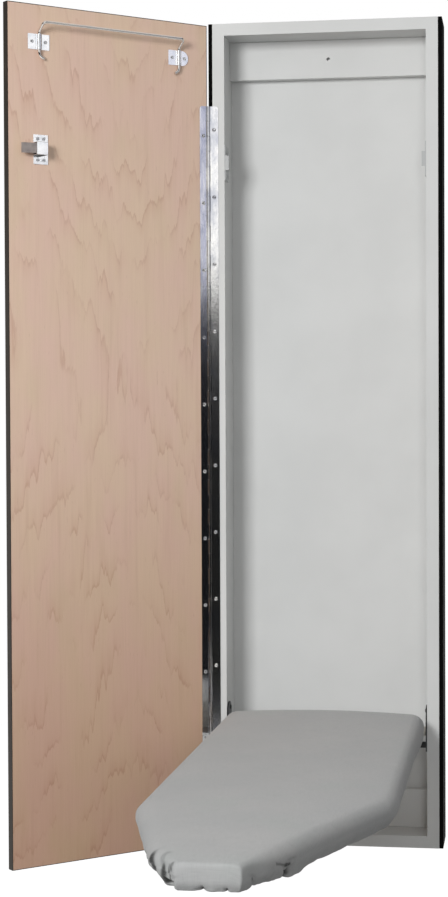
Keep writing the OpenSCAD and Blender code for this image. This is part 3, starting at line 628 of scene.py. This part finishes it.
def screw_rings(head_r, head_h, shank_r, shank_l, turn):
    """One screw with its seat at z = 0. The head is a dome, head_h (0.4 + 0.6 sqrt(1 - q^2)) high
    at radius q head_r, sunk by the cross recess. The shank's radius swings once a pitch along a
    helix and tapers to a point."""
    angle = np.linspace(0, 2 * math.pi, SCREW_SIDES, endpoint=False)
    share = np.r_[np.linspace(0.05, 0.62, 11), 0.72, 0.82, 0.9, 0.96, 1.0][:, None]
    x, y = share * np.cos(angle - turn), share * np.sin(angle - turn)
    cross = np.maximum(recess_arm(x, y), recess_arm(y, x)) * (1 - 0.45 * share)
    dome = head_h * (0.4 + 0.6 * np.sqrt(1 - share ** 2))
    down = np.linspace(0.02, 1, 30)[:, None]
    pitch = shank_r * 0.9
    helix = np.abs(((down * shank_l / pitch + angle / (2 * math.pi)) % 1) * 2 - 1)
    taper = 1 - 0.85 * smooth_step(down, 0.7, 1.0)
    rings = [(share * head_r, dome - 0.45 * head_h * cross), (np.array([[head_r], [shank_r]]), 0),
             (shank_r * (0.78 + 0.21 * helix) * taper, -down * shank_l)]
    x, y = np.cos(angle), np.sin(angle)
    return np.concatenate([np.stack(np.broadcast_arrays(radius * x, radius * y, height), -1)
                           for radius, height in rings])


def solids_of(node):
    """The separate solids of a node, as lists of points. The corners of each triangle take the
    lowest label among them, over and over, until every solid has one label."""
    points = mesh_points(node)
    _, first, same = np.unique(points.round(6), axis=0, return_index=True, return_inverse=True)
    triangles = same.ravel()[face_corners(NODES[node].data)].reshape(-1, 3)
    label = np.arange(len(first))
    while True:
        lower = label.copy()
        np.minimum.at(lower, triangles.ravel(), np.repeat(label[triangles].min(1), 3))
        if (lower == label).all():
            return [points[first][label == k] for k in np.unique(label)]
        label = lower


def screw_group(node, slot, body, axis, head, shank, mirrored=False):
    """Detailed screws in place of a node's plain ones. They face along axis, or on the left
    against it where mirrored, and head and shank are radius and height or length in
    millimetres."""
    name = node.replace("screws", "screw_set")
    spread = np.random.default_rng(len(name))
    points, faces, start = [], [], 0
    for solid in solids_of(node):
        middle = solid.mean(0)
        out = axis * math.copysign(1, middle[0]) if mirrored else axis
        centre = (solid.max(0) + solid.min(0)) / 2 if abs(out).max() > 0.99 else middle
        seat = centre + out * ((solid @ out).max() - centre @ out - head[1] * MM)
        side = unit(np.cross(out, UP if abs(out[2]) < 0.9 else RIGHT))
        rings = screw_rings(*head, *shank, spread.uniform(0, math.pi / 2)) * MM
        closed, quads = closed_tube(rings @ np.stack([np.cross(side, out), side, out]) + seat)
        points.append(closed)
        faces += [[v + start for v in f] for f in quads]
        start += len(closed)
    face_outwards(make_piece(name, np.concatenate(points), faces, slot, body, [node]))


HINGE_SCREW = ((3.1, 1.5), (1.6, 7))
PLATE_SCREW = ((2.8, 1.4), (1.5, 7))
screw_group("hinge_screws_cabinet", "nickel", "cabinet", TO_ROOM, *HINGE_SCREW)
screw_group("hinge_screws_door", "nickel", "door", OFF_DOOR, *HINGE_SCREW)
screw_group("strap_screws", "zinc", "door", OFF_DOOR, *PLATE_SCREW)
screw_group("catch_screws", "zinc", "door", OFF_DOOR, *PLATE_SCREW)
screw_group("keeper_screws", "grey_enamel", "cabinet", -RIGHT, *PLATE_SCREW, mirrored=True)
screw_group("bracket_screws", "dark_steel", "cabinet", -RIGHT, (3.8, 2), (2, 14), mirrored=True)
screw_group("carcass_screws", "dark_steel", "cabinet", RIGHT, (3.5, 3), (2, 40), mirrored=True)
screw_group("deck_screws", "zinc", "board", -UP, (3.6, 2), (1.9, 10))


# The catch's spring ---------------------------------------------------------


def catch_spring():
    """A helix of five turns: n and z go round a circle, while s grows, slower near both ends,
    where a ground spring's turns lie flatter."""
    low, high = door_box("catch_spring")
    wire = 0.35 * MM
    middle = (low + high) / 2
    coil_r = (high[2] - low[2]) / 2 - wire
    turns = 5
    angle = np.linspace(0, 2 * math.pi * turns, 24 * turns + 1)
    climb = smooth_step(angle / angle[-1], 0.02, 0.98) * 0.25 + angle / angle[-1] * 0.75
    along = low[0] + wire + climb * (high[0] - low[0] - 2 * wire)
    round_way = np.stack([0 * angle, np.cos(angle), np.sin(angle)], -1)
    centre_line = np.stack(np.broadcast_arrays(along, middle[1], middle[2]), -1)
    path = from_door(centre_line + coil_r * round_way)
    outward = path - from_door(centre_line)
    points, faces = closed_tube(swept(path, outward, wire, 10))
    face_outwards(make_piece("catch_coil", points, faces, "spring_steel", "door", ["catch_spring"]))


catch_spring()


# Ironing board: the outline that cover, pad and elastic share ---------------

COVER_LOW, COVER_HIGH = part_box("board_cover")
REAR_Y = COVER_HIGH.y
BOARD_W = (COVER_HIGH.x - COVER_LOW.x) / MM
BOARD_L = (COVER_HIGH.y - COVER_LOW.y) / MM
CROWN, CROWN_IN = 2.5, 46
TOP = COVER_HIGH.z / MM - CROWN
HEM = COVER_LOW.z / MM
DECK_BOTTOM = DECK_LOW.z / MM
DECK_TOP = DECK_HIGH.z / MM
NOSE_SHIFT, NOSE_W = -31, 112

# Corners as (x, distance from the rear edge, radius), in millimetres
BOARD_CORNERS = [
    (-BOARD_W / 2, 0, 21), (BOARD_W / 2, 0, 21), (BOARD_W / 2, 680, 170),
    (NOSE_SHIFT + NOSE_W / 2 + 14, BOARD_L - 46, 50), (NOSE_SHIFT + NOSE_W / 2 - 9, BOARD_L, 24),
    (NOSE_SHIFT - NOSE_W / 2 + 29, BOARD_L, 26), (NOSE_SHIFT - NOSE_W / 2 - 10, BOARD_L - 60, 60),
    (-BOARD_W / 2 - 2.4, 752, 50)]
REAR_LEFT, REAR_RIGHT, NOSE_RIGHT, NOSE_LEFT = 0, 1, 4, 5


def corner_arc(index, steps=24):
    """The round of one corner: its centre is one radius in from both sides, and its points
    turn about it from one tangent point to the next."""
    ring = np.roll(np.array(BOARD_CORNERS), 1 - index, axis=0)
    before, here, after = ring[:3, :2]
    radius = ring[1, 2]
    along_in, along_out = unit(here - before), unit(after - here)
    bend = math.atan2(along_in[0] * along_out[1] - along_in[1] * along_out[0],
                      along_in @ along_out)
    square = np.array([-along_in[1], along_in[0]])
    centre = here - along_in * radius * math.tan(bend / 2) + square * radius
    angle = math.atan2(-square[1], -square[0]) + bend * np.linspace(0, 1, steps + 1)
    return centre + radius * np.stack([np.cos(angle), np.sin(angle)], -1)


CORNER_ARCS = [corner_arc(k) for k in range(len(BOARD_CORNERS))]
OUTLINE = np.concatenate(CORNER_ARCS + [CORNER_ARCS[0][:1]])
ROUND = np.r_[0, np.cumsum(np.linalg.norm(np.diff(OUTLINE, axis=0), axis=1))]
PERIMETER = ROUND[-1]


def outline_at(travel):
    """The outline's point (x, distance from the rear) after that much travel round it."""
    travel = np.asarray(travel) % PERIMETER
    return np.stack([np.interp(travel, ROUND, OUTLINE[:, k]) for k in (0, 1)], -1)


def inward_at(travel):
    """The outline's inward direction there: its tangent over 8 mm, turned a quarter."""
    travel = np.asarray(travel)
    tangent = unit(outline_at(travel + 4) - outline_at(travel - 4))
    return np.stack([-tangent[..., 1], tangent[..., 0]], -1)


def arc_middle(corner):
    """Travel to the middle of a corner's round."""
    steps = len(CORNER_ARCS[0])
    return ROUND[corner * steps + steps // 2]


# Travel to the middle of the nose, from which places on the skirt are told: so many
# millimetres before its left corner's round begins
NOSE_TO_ROUND = 21
NOSE_AT = ROUND[NOSE_LEFT * len(CORNER_ARCS[0])] - NOSE_TO_ROUND


def in_row_frame(flat, height):
    """(x, distance from the rear) in millimetres and a height, as points of the row frame."""
    return np.stack([flat[..., 0] * MM, REAR_Y - flat[..., 1] * MM, height * MM], -1)


def loop_travels(across, along):
    """Travel of the points round a grid of across by along cells: rear edge, right side with
    its steps shrinking towards the nose, nose, and left side."""
    start = arc_middle(REAR_LEFT)
    left_over = 1 - np.arange(along) / along
    close = 1 - (0.35 * left_over + 0.65 * left_over ** 4)
    stops = [start, *map(arc_middle, (REAR_RIGHT, NOSE_RIGHT, NOSE_LEFT)), start + PERIMETER]
    even = np.arange(across) / across
    away = 1 - np.r_[close, 1][::-1][:-1]
    return np.concatenate([low + (high - low) * share for low, high, share
                           in zip(stops, stops[1:], (even, close, even, away))])


def filled(loop, across, along):
    """A grid that fills a loop of points: each point blends the two that face each other along,
    plus the two across, less the blend of the four corners that both count."""
    rear = loop[:across + 1]
    right = loop[across:across + along + 1]
    nose = loop[across + along:2 * across + along + 1][::-1]
    left = np.concatenate([loop[2 * across + along:], loop[:1]])[::-1]
    s = np.linspace(0, 1, across + 1)[None, :, None]
    t = np.linspace(0, 1, along + 1)[:, None, None]
    sides = (1 - t) * rear + t * nose + (1 - s) * left[:, None] + s * right[:, None]
    corners = ((1 - t) * ((1 - s) * rear[0] + s * rear[-1])
               + t * ((1 - s) * nose[0] + s * nose[-1]))
    return sides - corners


def loop_of_grid(across, along):
    """The indices round the rim of such a grid, in the loop's order."""
    index = np.arange((across + 1) * (along + 1)).reshape(along + 1, across + 1)
    return np.concatenate([index[0, :-1], index[:-1, -1], index[-1, :0:-1], index[:0:-1, 0]])


def edge_distance(flat):
    """Distance of flat points to the nearest point of the outline."""
    rim = outline_at(np.linspace(0, PERIMETER, 400, endpoint=False))
    return np.array([np.linalg.norm(row[:, None] - rim, axis=-1).min(1) for row in flat])


# Ironing board: the cover ---------------------------------------------------

# Folds of the hem: travel from the nose's middle at the hem and at the shoulder, depth and
# half width at the hem, in millimetres, and the power with which each fades up the skirt
FOLDS = [(190, 176, 4, 3, 1), (144, 134, 5, 3, 1), (47, 36, 8, 2.6, 0.7), (4, 5, 5, 2.6, 5),
         (-23, -22, 5, 2.4, 5), (10, 10, 2, 6, 4), (-69, -57, 8, 2.2, 0.8), (-104, -98, 1.2, 4, 1),
         (-118, -114, 1.2, 4, 1), (-152, -141, 9, 2.6, 0.7), (-149, -116, 5, 2.5, 0.8),
         (-236, -238, 2, 7, 1), (-322, -318, 1.6, 8, 1), (-415, -410, 1.6, 12, 1),
         (238, 232, 3, 7, 1), (318, 312, 2.2, 10, 1), (420, 424, 1.6, 12, 1)]
# Hollows between the drawn-in hem and the deck's edge: where, how deep and half the width
HOLLOWS = [(102, 16, 12), (55, 12, 10), (168, 10, 10), (-147, 13, 6)]
# Tucks, where the gathered cloth lies deep and a painted shade darkens it in place of the
# fold's shadow: strokes from one place on the skirt to another, each told as travel from the
# nose's middle and millimetres below the skirt's top, then half the stroke's width and how dark
# its painted shade is
PAINTED_TUCK_SHADES = [((101, -4), (90, 7), 8, 1), ((63, -1), (67, 16), 6.5, 1), ((75, -12), (69, -6), 5, 0.3),
         ((39, -11), (47, -6), 2.4, 0.6), ((40, -6), (47, -1), 1.8, 0.8),
         ((47, -1), (47, 8), 2, 0.8), ((47, 8), (42, 18), 2.4, 0.95),
         ((-108, -1), (-131, 5), 1.6, 0.6), ((-131, 5), (-144, 8), 2.6, 1),
         ((-144, 8), (-149, 14), 3.2, 1), ((-149, 14), (-152, 20), 3.4, 1),
         ((-58, 6), (-62, 21), 1.8, 0.8), ((4, 20), (4, 23), 2, 0.9),
         ((-23, 20), (-23, 23), 2, 0.9)]
# Middles of the nose's flat faces, and the valley between two of them, told as the folds are
FACES = [-262, -150, -68, 0, 56, 128, 250]
VALLEY_AT = 84
# Stretches where the elastic draws the hem in less than along the sides, and where the hem rides
# up or down: place, half width, power and height of each hill
SLACKER = [(-10, 62, 6, 6), (115, 60, 6, 3)]
HEM_HILLS = [(-15, 90, 6, 5.5), (126, 48, 10, 9.5), (-172, 26, 4, -4.5)]
SHOULDER_IN, SHOULDER_DROP = 18, 14
# At the nose, where the cloth is tight over the edge: how much less the shoulder goes in, and
# how much of its drop comes only near its foot
NOSE_IN, NOSE_DROP = 13, 9
HEM_ROLL = 2.2
STITCH_SHARE = 0.88


def hill(place, middle, width, power):
    """e^-|(place - middle) / width|^power: 1 in the middle, and flat-topped where power is high."""
    return np.exp(-np.abs((place - middle) / width) ** power)


def hills(place, rows):
    """The sum of such hills, each times its height."""
    return sum(height * hill(place, middle, width, power) for middle, width, power, height in rows)


def crown_height(inside):
    """Height of the pad's crown over the flat top: CROWN (1 - (1 - t)^2), t reaching 1 at
    CROWN_IN from the outline."""
    t = np.clip(inside / CROWN_IN, 0, 1)
    return CROWN * (1 - (1 - t) ** 2)


def bow(flat):
    """The pad's arch across the board: a parabola in x, 5.5 mm high at the rear edge and lower
    towards the nose."""
    x, distance = flat[..., 0], flat[..., 1]
    across = np.clip(1 - (x / (BOARD_W / 2)) ** 2, 0, 1)
    along = (2.2 + 3.3 * hill(distance, 0, 330, 2)) * smooth_step(BOARD_L - distance, 0, 200)
    return across * along


def soft_dents(flat):
    """Hardly visible hollows of the ironed top: three crossing waves of unlike length."""
    x, d = flat[..., 0], flat[..., 1]
    return (0.28 * np.sin(x / 61 + d / 143 + 0.6) + 0.22 * np.sin(d / 97 - x / 83 + 2.1)
            + 0.12 * np.sin(d / 41 + x / 37))


def padded_top(flat, inside, level):
    """The ironed top over flat points at that distance inside the outline, in the row frame: a
    level with the crown, the bow and, away from the shoulder, the soft dents."""
    dents = soft_dents(flat) * smooth_step(inside, 16, 60)
    return in_row_frame(flat, level + crown_height(inside) + bow(flat) + dents)


def from_nose(travel):
    """Travel told from the nose's middle, positive to the left."""
    return (travel - NOSE_AT + PERIMETER / 2) % PERIMETER - PERIMETER / 2


def fold_depth(travel, share):
    """How far folds pull the skirt in at a share of its depth, 0 at the shoulder and 1 at the
    hem: a sum of d share^fade e^-|x/w|^1.4, narrow and deep at the hem, wide and shallow above,
    with a fine ripple of the hem."""
    place = from_nose(travel)
    pull = np.zeros(np.broadcast(travel, share).shape)
    for hem_at, top_at, depth, width, fade in FOLDS:
        middle = top_at + (hem_at - top_at) * share
        spread = width * (1 + 1.1 * (1 - share))
        pull += depth * share ** fade * hill(place, middle, spread, 1.4)
    ripple = np.sin(place / 4.1 + 1.7 * np.sin(place / 29)) + 0.6 * np.sin(place / 2.6 + 0.8)
    return pull + (0.1 + 0.3 * hill(place, 0, 190, 4)) * share ** 4 * ripple


def hollow_depth(travel, share):
    """How far the cloth is sucked in above the hem: a hill of power 3 for each hollow, times an
    arch down the skirt."""
    place = from_nose(travel)
    down = np.sin(math.pi * np.clip((share + 0.05) / 1.1, 0, 1)) ** 0.6
    return down * sum(depth * hill(place, middle, width, 3) for middle, depth, width in HOLLOWS)


def painted_tuck_shade_at(travel, below):
    """How much painted shade the tucks lay on the cloth at a depth below the skirt's top, from 0
    to 1: the most that any tuck gives, its darkness times a hill of the distance to its stroke."""
    here = np.stack(np.broadcast_arrays(from_nose(travel), below), -1)
    deep = np.zeros(len(here))
    for first, last, width, dark in PAINTED_TUCK_SHADES:
        stroke = np.subtract(last, first)
        share = np.clip((here - first) @ stroke / (stroke @ stroke), 0, 1)
        away = np.linalg.norm(here - first - share[:, None] * stroke, axis=-1)
        deep = np.maximum(deep, dark * hill(away, 0, width, 4))
    return deep


def face_out(travel):
    """How far the flat faces of the nose stand outside its round: the way out to the nearest
    of the lines that touch the round in each face's middle, 6 mm at most. In the valley the
    cloth lies on the round."""
    furthest = 6.0
    here, inward = outline_at(travel), inward_at(travel)
    reach = np.full(np.shape(travel), furthest)
    for middle in FACES:
        touch, square = outline_at(NOSE_AT + middle), inward_at(NOSE_AT + middle)
        facing = np.maximum(inward @ square, 0.2)
        reach = np.minimum(reach, np.maximum((here - touch) @ square, 0) / facing)
    place = from_nose(travel)
    return reach * hill(place, 0, 230, 8) * (1 - hill(place, VALLEY_AT, 22, 4))


def hem_draw(travel):
    """How far the elastic draws the hem in: 1 mm beside the pivots, 9 along the sides, 6 at the
    nose's left and 3 at its front."""
    side = 1 + 8 * smooth_step(outline_at(travel)[..., 1], 60, 420)
    return side - hills(from_nose(travel), SLACKER)


def hem_lift(travel, share):
    """How far the hem rides up: where it is folded or drawn in, and on its own hills."""
    drawn = 0.25 * fold_depth(travel, 1.0) + 0.1 * (hem_draw(travel) - 4)
    return (drawn + hills(from_nose(travel), HEM_HILLS)) * share ** 2


def cover_rings(travel):
    """The cloth's rings below the top, each an inset and a height for every point of the loop,
    and a share of the skirt's depth: an oval shoulder, the skirt, and the rolled hem. Folds stay
    outside the deck's edge, and go as deep as they will below its foot."""
    deck_in, free_reach = 1.9, 40
    rings = []
    flat_out = face_out(travel)
    tight = hill(from_nose(travel), 0, 80, 4)
    valley = 2.6 * hill(from_nose(travel), 70, 13, 2)
    for turn in np.linspace(0.1, math.pi / 2, 12):
        sine, fallen = math.sin(turn), 1 - math.cos(turn)
        sunk = valley * sine ** 2 * (1 - 0.6 * sine ** 8)
        inside = (SHOULDER_IN - NOSE_IN * tight) * (1 - sine) - flat_out * sine ** 3
        height = TOP + crown_height(inside) - (SHOULDER_DROP - NOSE_DROP * tight) * fallen
        height -= NOSE_DROP * tight * smooth_step(turn, 1.0, math.pi / 2)
        rings.append((inside + sunk * sine, height - sunk * math.cos(turn), 0.0))
    skirt_top = TOP - SHOULDER_DROP
    skirt_low = HEM + HEM_ROLL
    turn_from = (skirt_top - DECK_BOTTOM) / (skirt_top - skirt_low) - 0.16
    draw = hem_draw(travel)
    for share in np.linspace(0.05, 1, 24):
        height = skirt_top + (skirt_low - skirt_top) * share + hem_lift(travel, share)
        turned = smooth_step(share, turn_from, 1.5) / smooth_step(1, turn_from, 1.5)
        free = smooth_step(DECK_BOTTOM - height, 0.2, 5)
        out = flat_out * (1 - 0.2 * turned)
        fold = fold_depth(travel, share) + hollow_depth(travel, share)
        fold = np.minimum(fold, out + deck_in + free_reach * free)
        rings.append((draw * turned - out + fold, height, share))
    hem_inside, hem_height, _ = rings[-1]
    for turn in np.linspace(math.pi / 5, math.pi, 5):
        rings.append((hem_inside + HEM_ROLL * (1 - math.cos(turn)),
                      hem_height - HEM_ROLL * math.sin(turn), 1.0))
    rings.append((hem_inside + 2 * HEM_ROLL, hem_height + 3.0, 1.0))
    return rings


def board_cover():
    """The cover is one cloth: a filled grid over the pad, then rings down to the hem's turned
    edge. Its flat map runs on outwards from the grid's rim by the length of the path down."""
    across, along = 60, 240
    travel = loop_travels(across, along)
    rim, inward = outline_at(travel), inward_at(travel)
    start = rim + inward * SHOULDER_IN
    top = filled(start, across, along)
    inside = edge_distance(top)
    sheet = [padded_top(top, inside, TOP)]
    flat = [top.reshape(-1, 2)]
    painted_tuck_shades = [np.zeros(inside.size)]
    arch = bow(start)
    loop = in_row_frame(start, TOP + crown_height(SHOULDER_IN) + arch)
    length = np.zeros(len(travel))
    skirt_top = TOP - SHOULDER_DROP
    for ring_inside, height, share in cover_rings(travel):
        above = np.clip((height - skirt_top) / SHOULDER_DROP, 0, 1)
        ring = in_row_frame(rim + inward * ring_inside[:, None], height + arch * above)
        length += np.linalg.norm(ring - loop, axis=1) / MM
        sheet.append(ring)
        flat.append(start - inward * length[:, None])
        # The painted shade of the deep gathers, for each ring down the skirt
        painted_tuck_shades.append(painted_tuck_shade_at(travel, share * (skirt_top - HEM) - above * SHOULDER_DROP))
        loop = ring
    first, count = top.size // 2, len(travel)
    join = belt_faces(loop_of_grid(across, along), first + np.arange(count))
    skirt = grid_faces(len(sheet) - 1, count, True, first)[:, ::-1]
    faces = np.concatenate([grid_faces(along + 1, across + 1), join, skirt])
    points = np.concatenate([part.reshape(-1, 3) for part in sheet])
    piece = make_piece("cotton_cover", points, faces, "cotton", "board", ["board_cover"])
    map_cloth(piece, np.concatenate(flat) * MM)
    # The painted shade goes on the cloth as a point attribute, which the cotton finish reads
    painted_tuck_shade = piece.data.attributes.new("painted_tuck_shade", "FLOAT", "POINT")
    painted_tuck_shade.data.foreach_set("value", np.concatenate(painted_tuck_shades))
    wall = piece.modifiers.new("cloth", "SOLIDIFY")
    wall.thickness = 0.8 * MM
    wall.offset = -1
    area = abs(((rim[1:, 0] + rim[:-1, 0]) / 2 * np.diff(rim[:, 1])).sum())
    cut = float(area + PERIMETER * (length.mean() - SHOULDER_IN))


# Ironing board: pad, elastic and hem stitches -------------------------------


def felt_pad():
    """The pad lies on the deck: a filled grid for its crowned top, one for its flat foot, and
    rounded side rings between them."""
    across, along = 30, 100
    edge_in, shoulder, tucked_in = 4.4, 20, 1.2
    under_cover, over_deck = 1.5, 0.05
    travel = loop_travels(across, along)
    rim, inward = outline_at(travel), inward_at(travel)
    top = filled(rim + inward * shoulder, across, along)
    high, low = TOP - under_cover, DECK_TOP + over_deck
    points = [padded_top(top, edge_distance(top), high)]
    arch = bow(rim + inward * shoulder)
    for turn in np.linspace(0.15, math.pi, 14):
        out = edge_in + (shoulder - edge_in) * (1 - math.sin(min(turn, math.pi / 2)))
        out += tucked_in * max(0, -math.cos(turn))
        share = (1 + math.cos(turn)) / 2
        height = low + (high + crown_height(min(out, shoulder)) + arch - low) * share ** 0.8
        points.append(in_row_frame(rim + inward * out, height))
    foot = filled(rim + inward * (edge_in + tucked_in), across, along)
    points.append(in_row_frame(foot, low + 0 * foot[..., 0]))
    count, first, rings = len(travel), top.size // 2, len(points) - 2
    rim_index, ring_index = loop_of_grid(across, along), first + np.arange(count)
    foot_first = first + rings * count
    grid = grid_faces(along + 1, across + 1)
    faces = np.concatenate([grid, belt_faces(rim_index, ring_index),
                            grid_faces(rings, count, True, first)[:, ::-1],
                            belt_faces(ring_index + (rings - 1) * count, foot_first + rim_index),
                            grid[:, ::-1] + foot_first])
    points = np.concatenate([part.reshape(-1, 3) for part in points])
    pad = make_piece("felt_pad", points, faces, "felt", "board", ["board_pad"])
    face_outwards(pad)


def hem_elastic():
    """A flat band inside the hem, waved as it is where it lies slack: eight points round its
    thin section, carried along the drawn-in hem."""
    half_t, half_h, in_hem, above_hem = 0.5, 2.2, 1.3, 1.4
    travel = np.linspace(0, PERIMETER, 900, endpoint=False)
    rim, inward = outline_at(travel), inward_at(travel)
    inside = cover_rings(travel)[-1][0] + in_hem + 0.12 * np.sin(travel / 2.3)
    middle = HEM + HEM_ROLL + above_hem + hem_lift(travel, 1.0)
    section = np.array([(-1, 0.9), (-0.7, 1), (0.7, 1), (1, 0.9),
                        (1, -0.9), (0.7, -1), (-0.7, -1), (-1, -0.9)]) * (half_t, half_h)
    rings = [in_row_frame(rim + inward * (inside + a)[:, None], middle + b) for a, b in section]
    points = np.stack(rings, 1)
    count, sides = points.shape[:2]
    index = np.arange(count * sides).reshape(count, sides)
    faces = np.concatenate([belt_faces(*pair) for pair in zip(index, np.roll(index, -1, 0))])
    band = make_piece("elastic_band", points, faces, "elastic", "board", ["hem_elastic"])
    flat = np.stack(np.broadcast_arrays(travel[:, None] * MM, section[:, 1] * MM), -1)
    map_cloth(band, flat.reshape(-1, 2))
    face_outwards(band)


def hem_stitches():
    """Lockstitch above the hem: each stitch is a bead, thickest in the middle, laid on the skirt
    at a set share of its depth."""
    pitch, bead = 4.4, 3.2
    count = int(PERIMETER / pitch)
    middle = (np.arange(count) + 0.5) * pitch
    along = np.linspace(-0.5, 0.5, 5) * bead
    travel = middle[:, None] + along
    inside, height = next(ring[:2] for ring in cover_rings(travel.ravel())
                          if ring[2] >= STITCH_SHARE)
    rim, inward = outline_at(travel), inward_at(travel)
    on_cloth = inside.reshape(travel.shape) - 0.15
    path = in_row_frame(rim + inward * on_cloth[..., None], height.reshape(travel.shape))
    outward = -np.concatenate([inward * [1, -1], 0 * inward[..., :1]], -1)
    thick = np.array([0.12, 0.26, 0.3, 0.26, 0.12])[:, None, None] * MM
    aside = np.cross(unit(np.gradient(path, axis=1)), outward)
    turn = np.linspace(0, 2 * math.pi, 5, endpoint=False)[:, None]
    around = np.cos(turn) * outward[:, :, None] + np.sin(turn) * aside[:, :, None]
    points = (path[:, :, None] + thick * around).reshape(-1, 3)
    sides, bead_points = len(turn), len(along) * len(turn)
    one = [*grid_faces(len(along), sides, True).tolist(), list(range(sides))[::-1],
           list(range(bead_points - sides, bead_points))]
    faces = [[v + k * bead_points for v in face] for k in range(count) for face in one]
    stitches = make_piece("hem_stitches", points, faces, "cotton", "board")
    map_cloth(stitches, points[:, :2])
    face_outwards(stitches)


board_cover()
felt_pad()
hem_elastic()
hem_stitches()


# Stage and light ------------------------------------------------------------

FLOOR_Z = -1.35


def white_world():
    """White to the camera, and a soft even light for diffuse surfaces. Metal mirrors two bright
    windows above the horizon, one to the front and one to the right with a cool far half,
    a bright ceiling, a pale wall low at the back, and a dim room between and below them,
    which the plated hinge, the bar's bends and the straps' channels show."""
    world = bpy.data.worlds.new("studio")
    bpy.context.scene.world = world
    paint = Paint("studio", world)
    glossy, seen = paint.ray("Glossy"), paint.ray("Camera") + paint.ray("Transmission")
    direction = paint.node("ShaderNodeTexCoord", output="Generated")
    x, y, rise = (paint.axis(direction, name) for name in "XYZ")
    front = (-0.03 * x - y).ease(0.82, 0.88)
    right = (0.97 * x - 0.24 * y).ease(0.93, 0.965)
    above = rise.ease(0.045, 0.072) * (1 - rise.ease(0.5, 0.7))
    ceiling = rise.ease(0.5, 0.7) * 0.75
    behind = (y - 0.2 * x).ease(0.2, 0.5) * (1 - rise.ease(0.0, 0.14)) * 0.8
    mirrored = 0.012 + (1.3 * front + 1.12 * right) * above + ceiling + behind
    soft = 0.16 + 0.22 * rise.ease(-0.5, 0.6)
    strength = seen + glossy * mirrored + (1 - seen - glossy) * soft
    cool = glossy * x.ease(0.8, 0.9) * (y + 0.24 * x).ease(-0.015, 0.015)
    background = paint.own("BACKGROUND")
    paint.feed(background.inputs["Color"], paint.mix(cool, (1, 1, 1), shade(186, 189, 214)))
    paint.feed(background.inputs["Strength"], strength)


def pale_floor():
    """A pale floor at the height that the cabinet's place on a wall gives it. To the camera, and
    a little to metal, it glows over its own light, so that it stays white and keeps the shadow.
    Light that bounces off it is that of a darker floor."""
    half = 5.0
    mesh = bpy.data.meshes.new("floor")
    corners = [(x * half, y * half, FLOOR_Z) for x, y in ((-1, -1), (1, -1), (1, 1), (-1, 1))]
    mesh.from_pydata(corners, [], [(0, 1, 2, 3)])
    floor = add_object("floor", mesh)
    paint = Paint("floor")
    grain = paint.noise(paint.place(), 40, 2)
    pale = paint.mix(grain, (0.82, 0.82, 0.82), (0.86, 0.86, 0.86))
    paint.set(Base_Color=paint.mix(paint.ray("Diffuse"), pale, (0.3, 0.3, 0.3)), Roughness=0.9,
              Specular_IOR_Level=0.0)
    lit = paint.ray("Camera") + 0.3 * paint.ray("Glossy")
    glow = paint.node("ShaderNodeEmission", {"Color": (1, 1, 1), "Strength": lit * 0.7})
    both = paint.node("ShaderNodeAddShader", {0: Field(paint, paint.skin.outputs[0]), 1: glow})
    paint.feed(paint.own("OUTPUT_MATERIAL").inputs["Surface"], both)
    mesh.materials.append(paint.owner)


def softbox(name, place, target, size, power, mirrored=True):
    """An area lamp at place, facing target, which metal mirrors where mirrored is set."""
    data = bpy.data.lights.new(name, "AREA")
    data.shape = "RECTANGLE"
    data.size, data.size_y = size
    data.energy = power
    lamp = add_object(name, data)
    back = unit(np.subtract(place, target))
    side = unit(np.cross(UP, back))
    aim(lamp, side, np.cross(back, side), back, place)
    lamp.visible_glossy = mirrored


white_world()
pale_floor()
softbox("key", (-1.1, -3.2, 0.95), (0, 0, 0), (0.9, 0.9), 73, mirrored=False)
softbox("fill", (0.75, -3.9, 0.6), (-0.1, 0, 0.1), (0.6, 1.6), 18, mirrored=False)
softbox("glint", (-1.0, -3.2, 1.3), (-0.1, 0, 0.2), (0.12, 0.12), 0.8)
bpy.context.scene.view_settings.view_transform = "Standard"
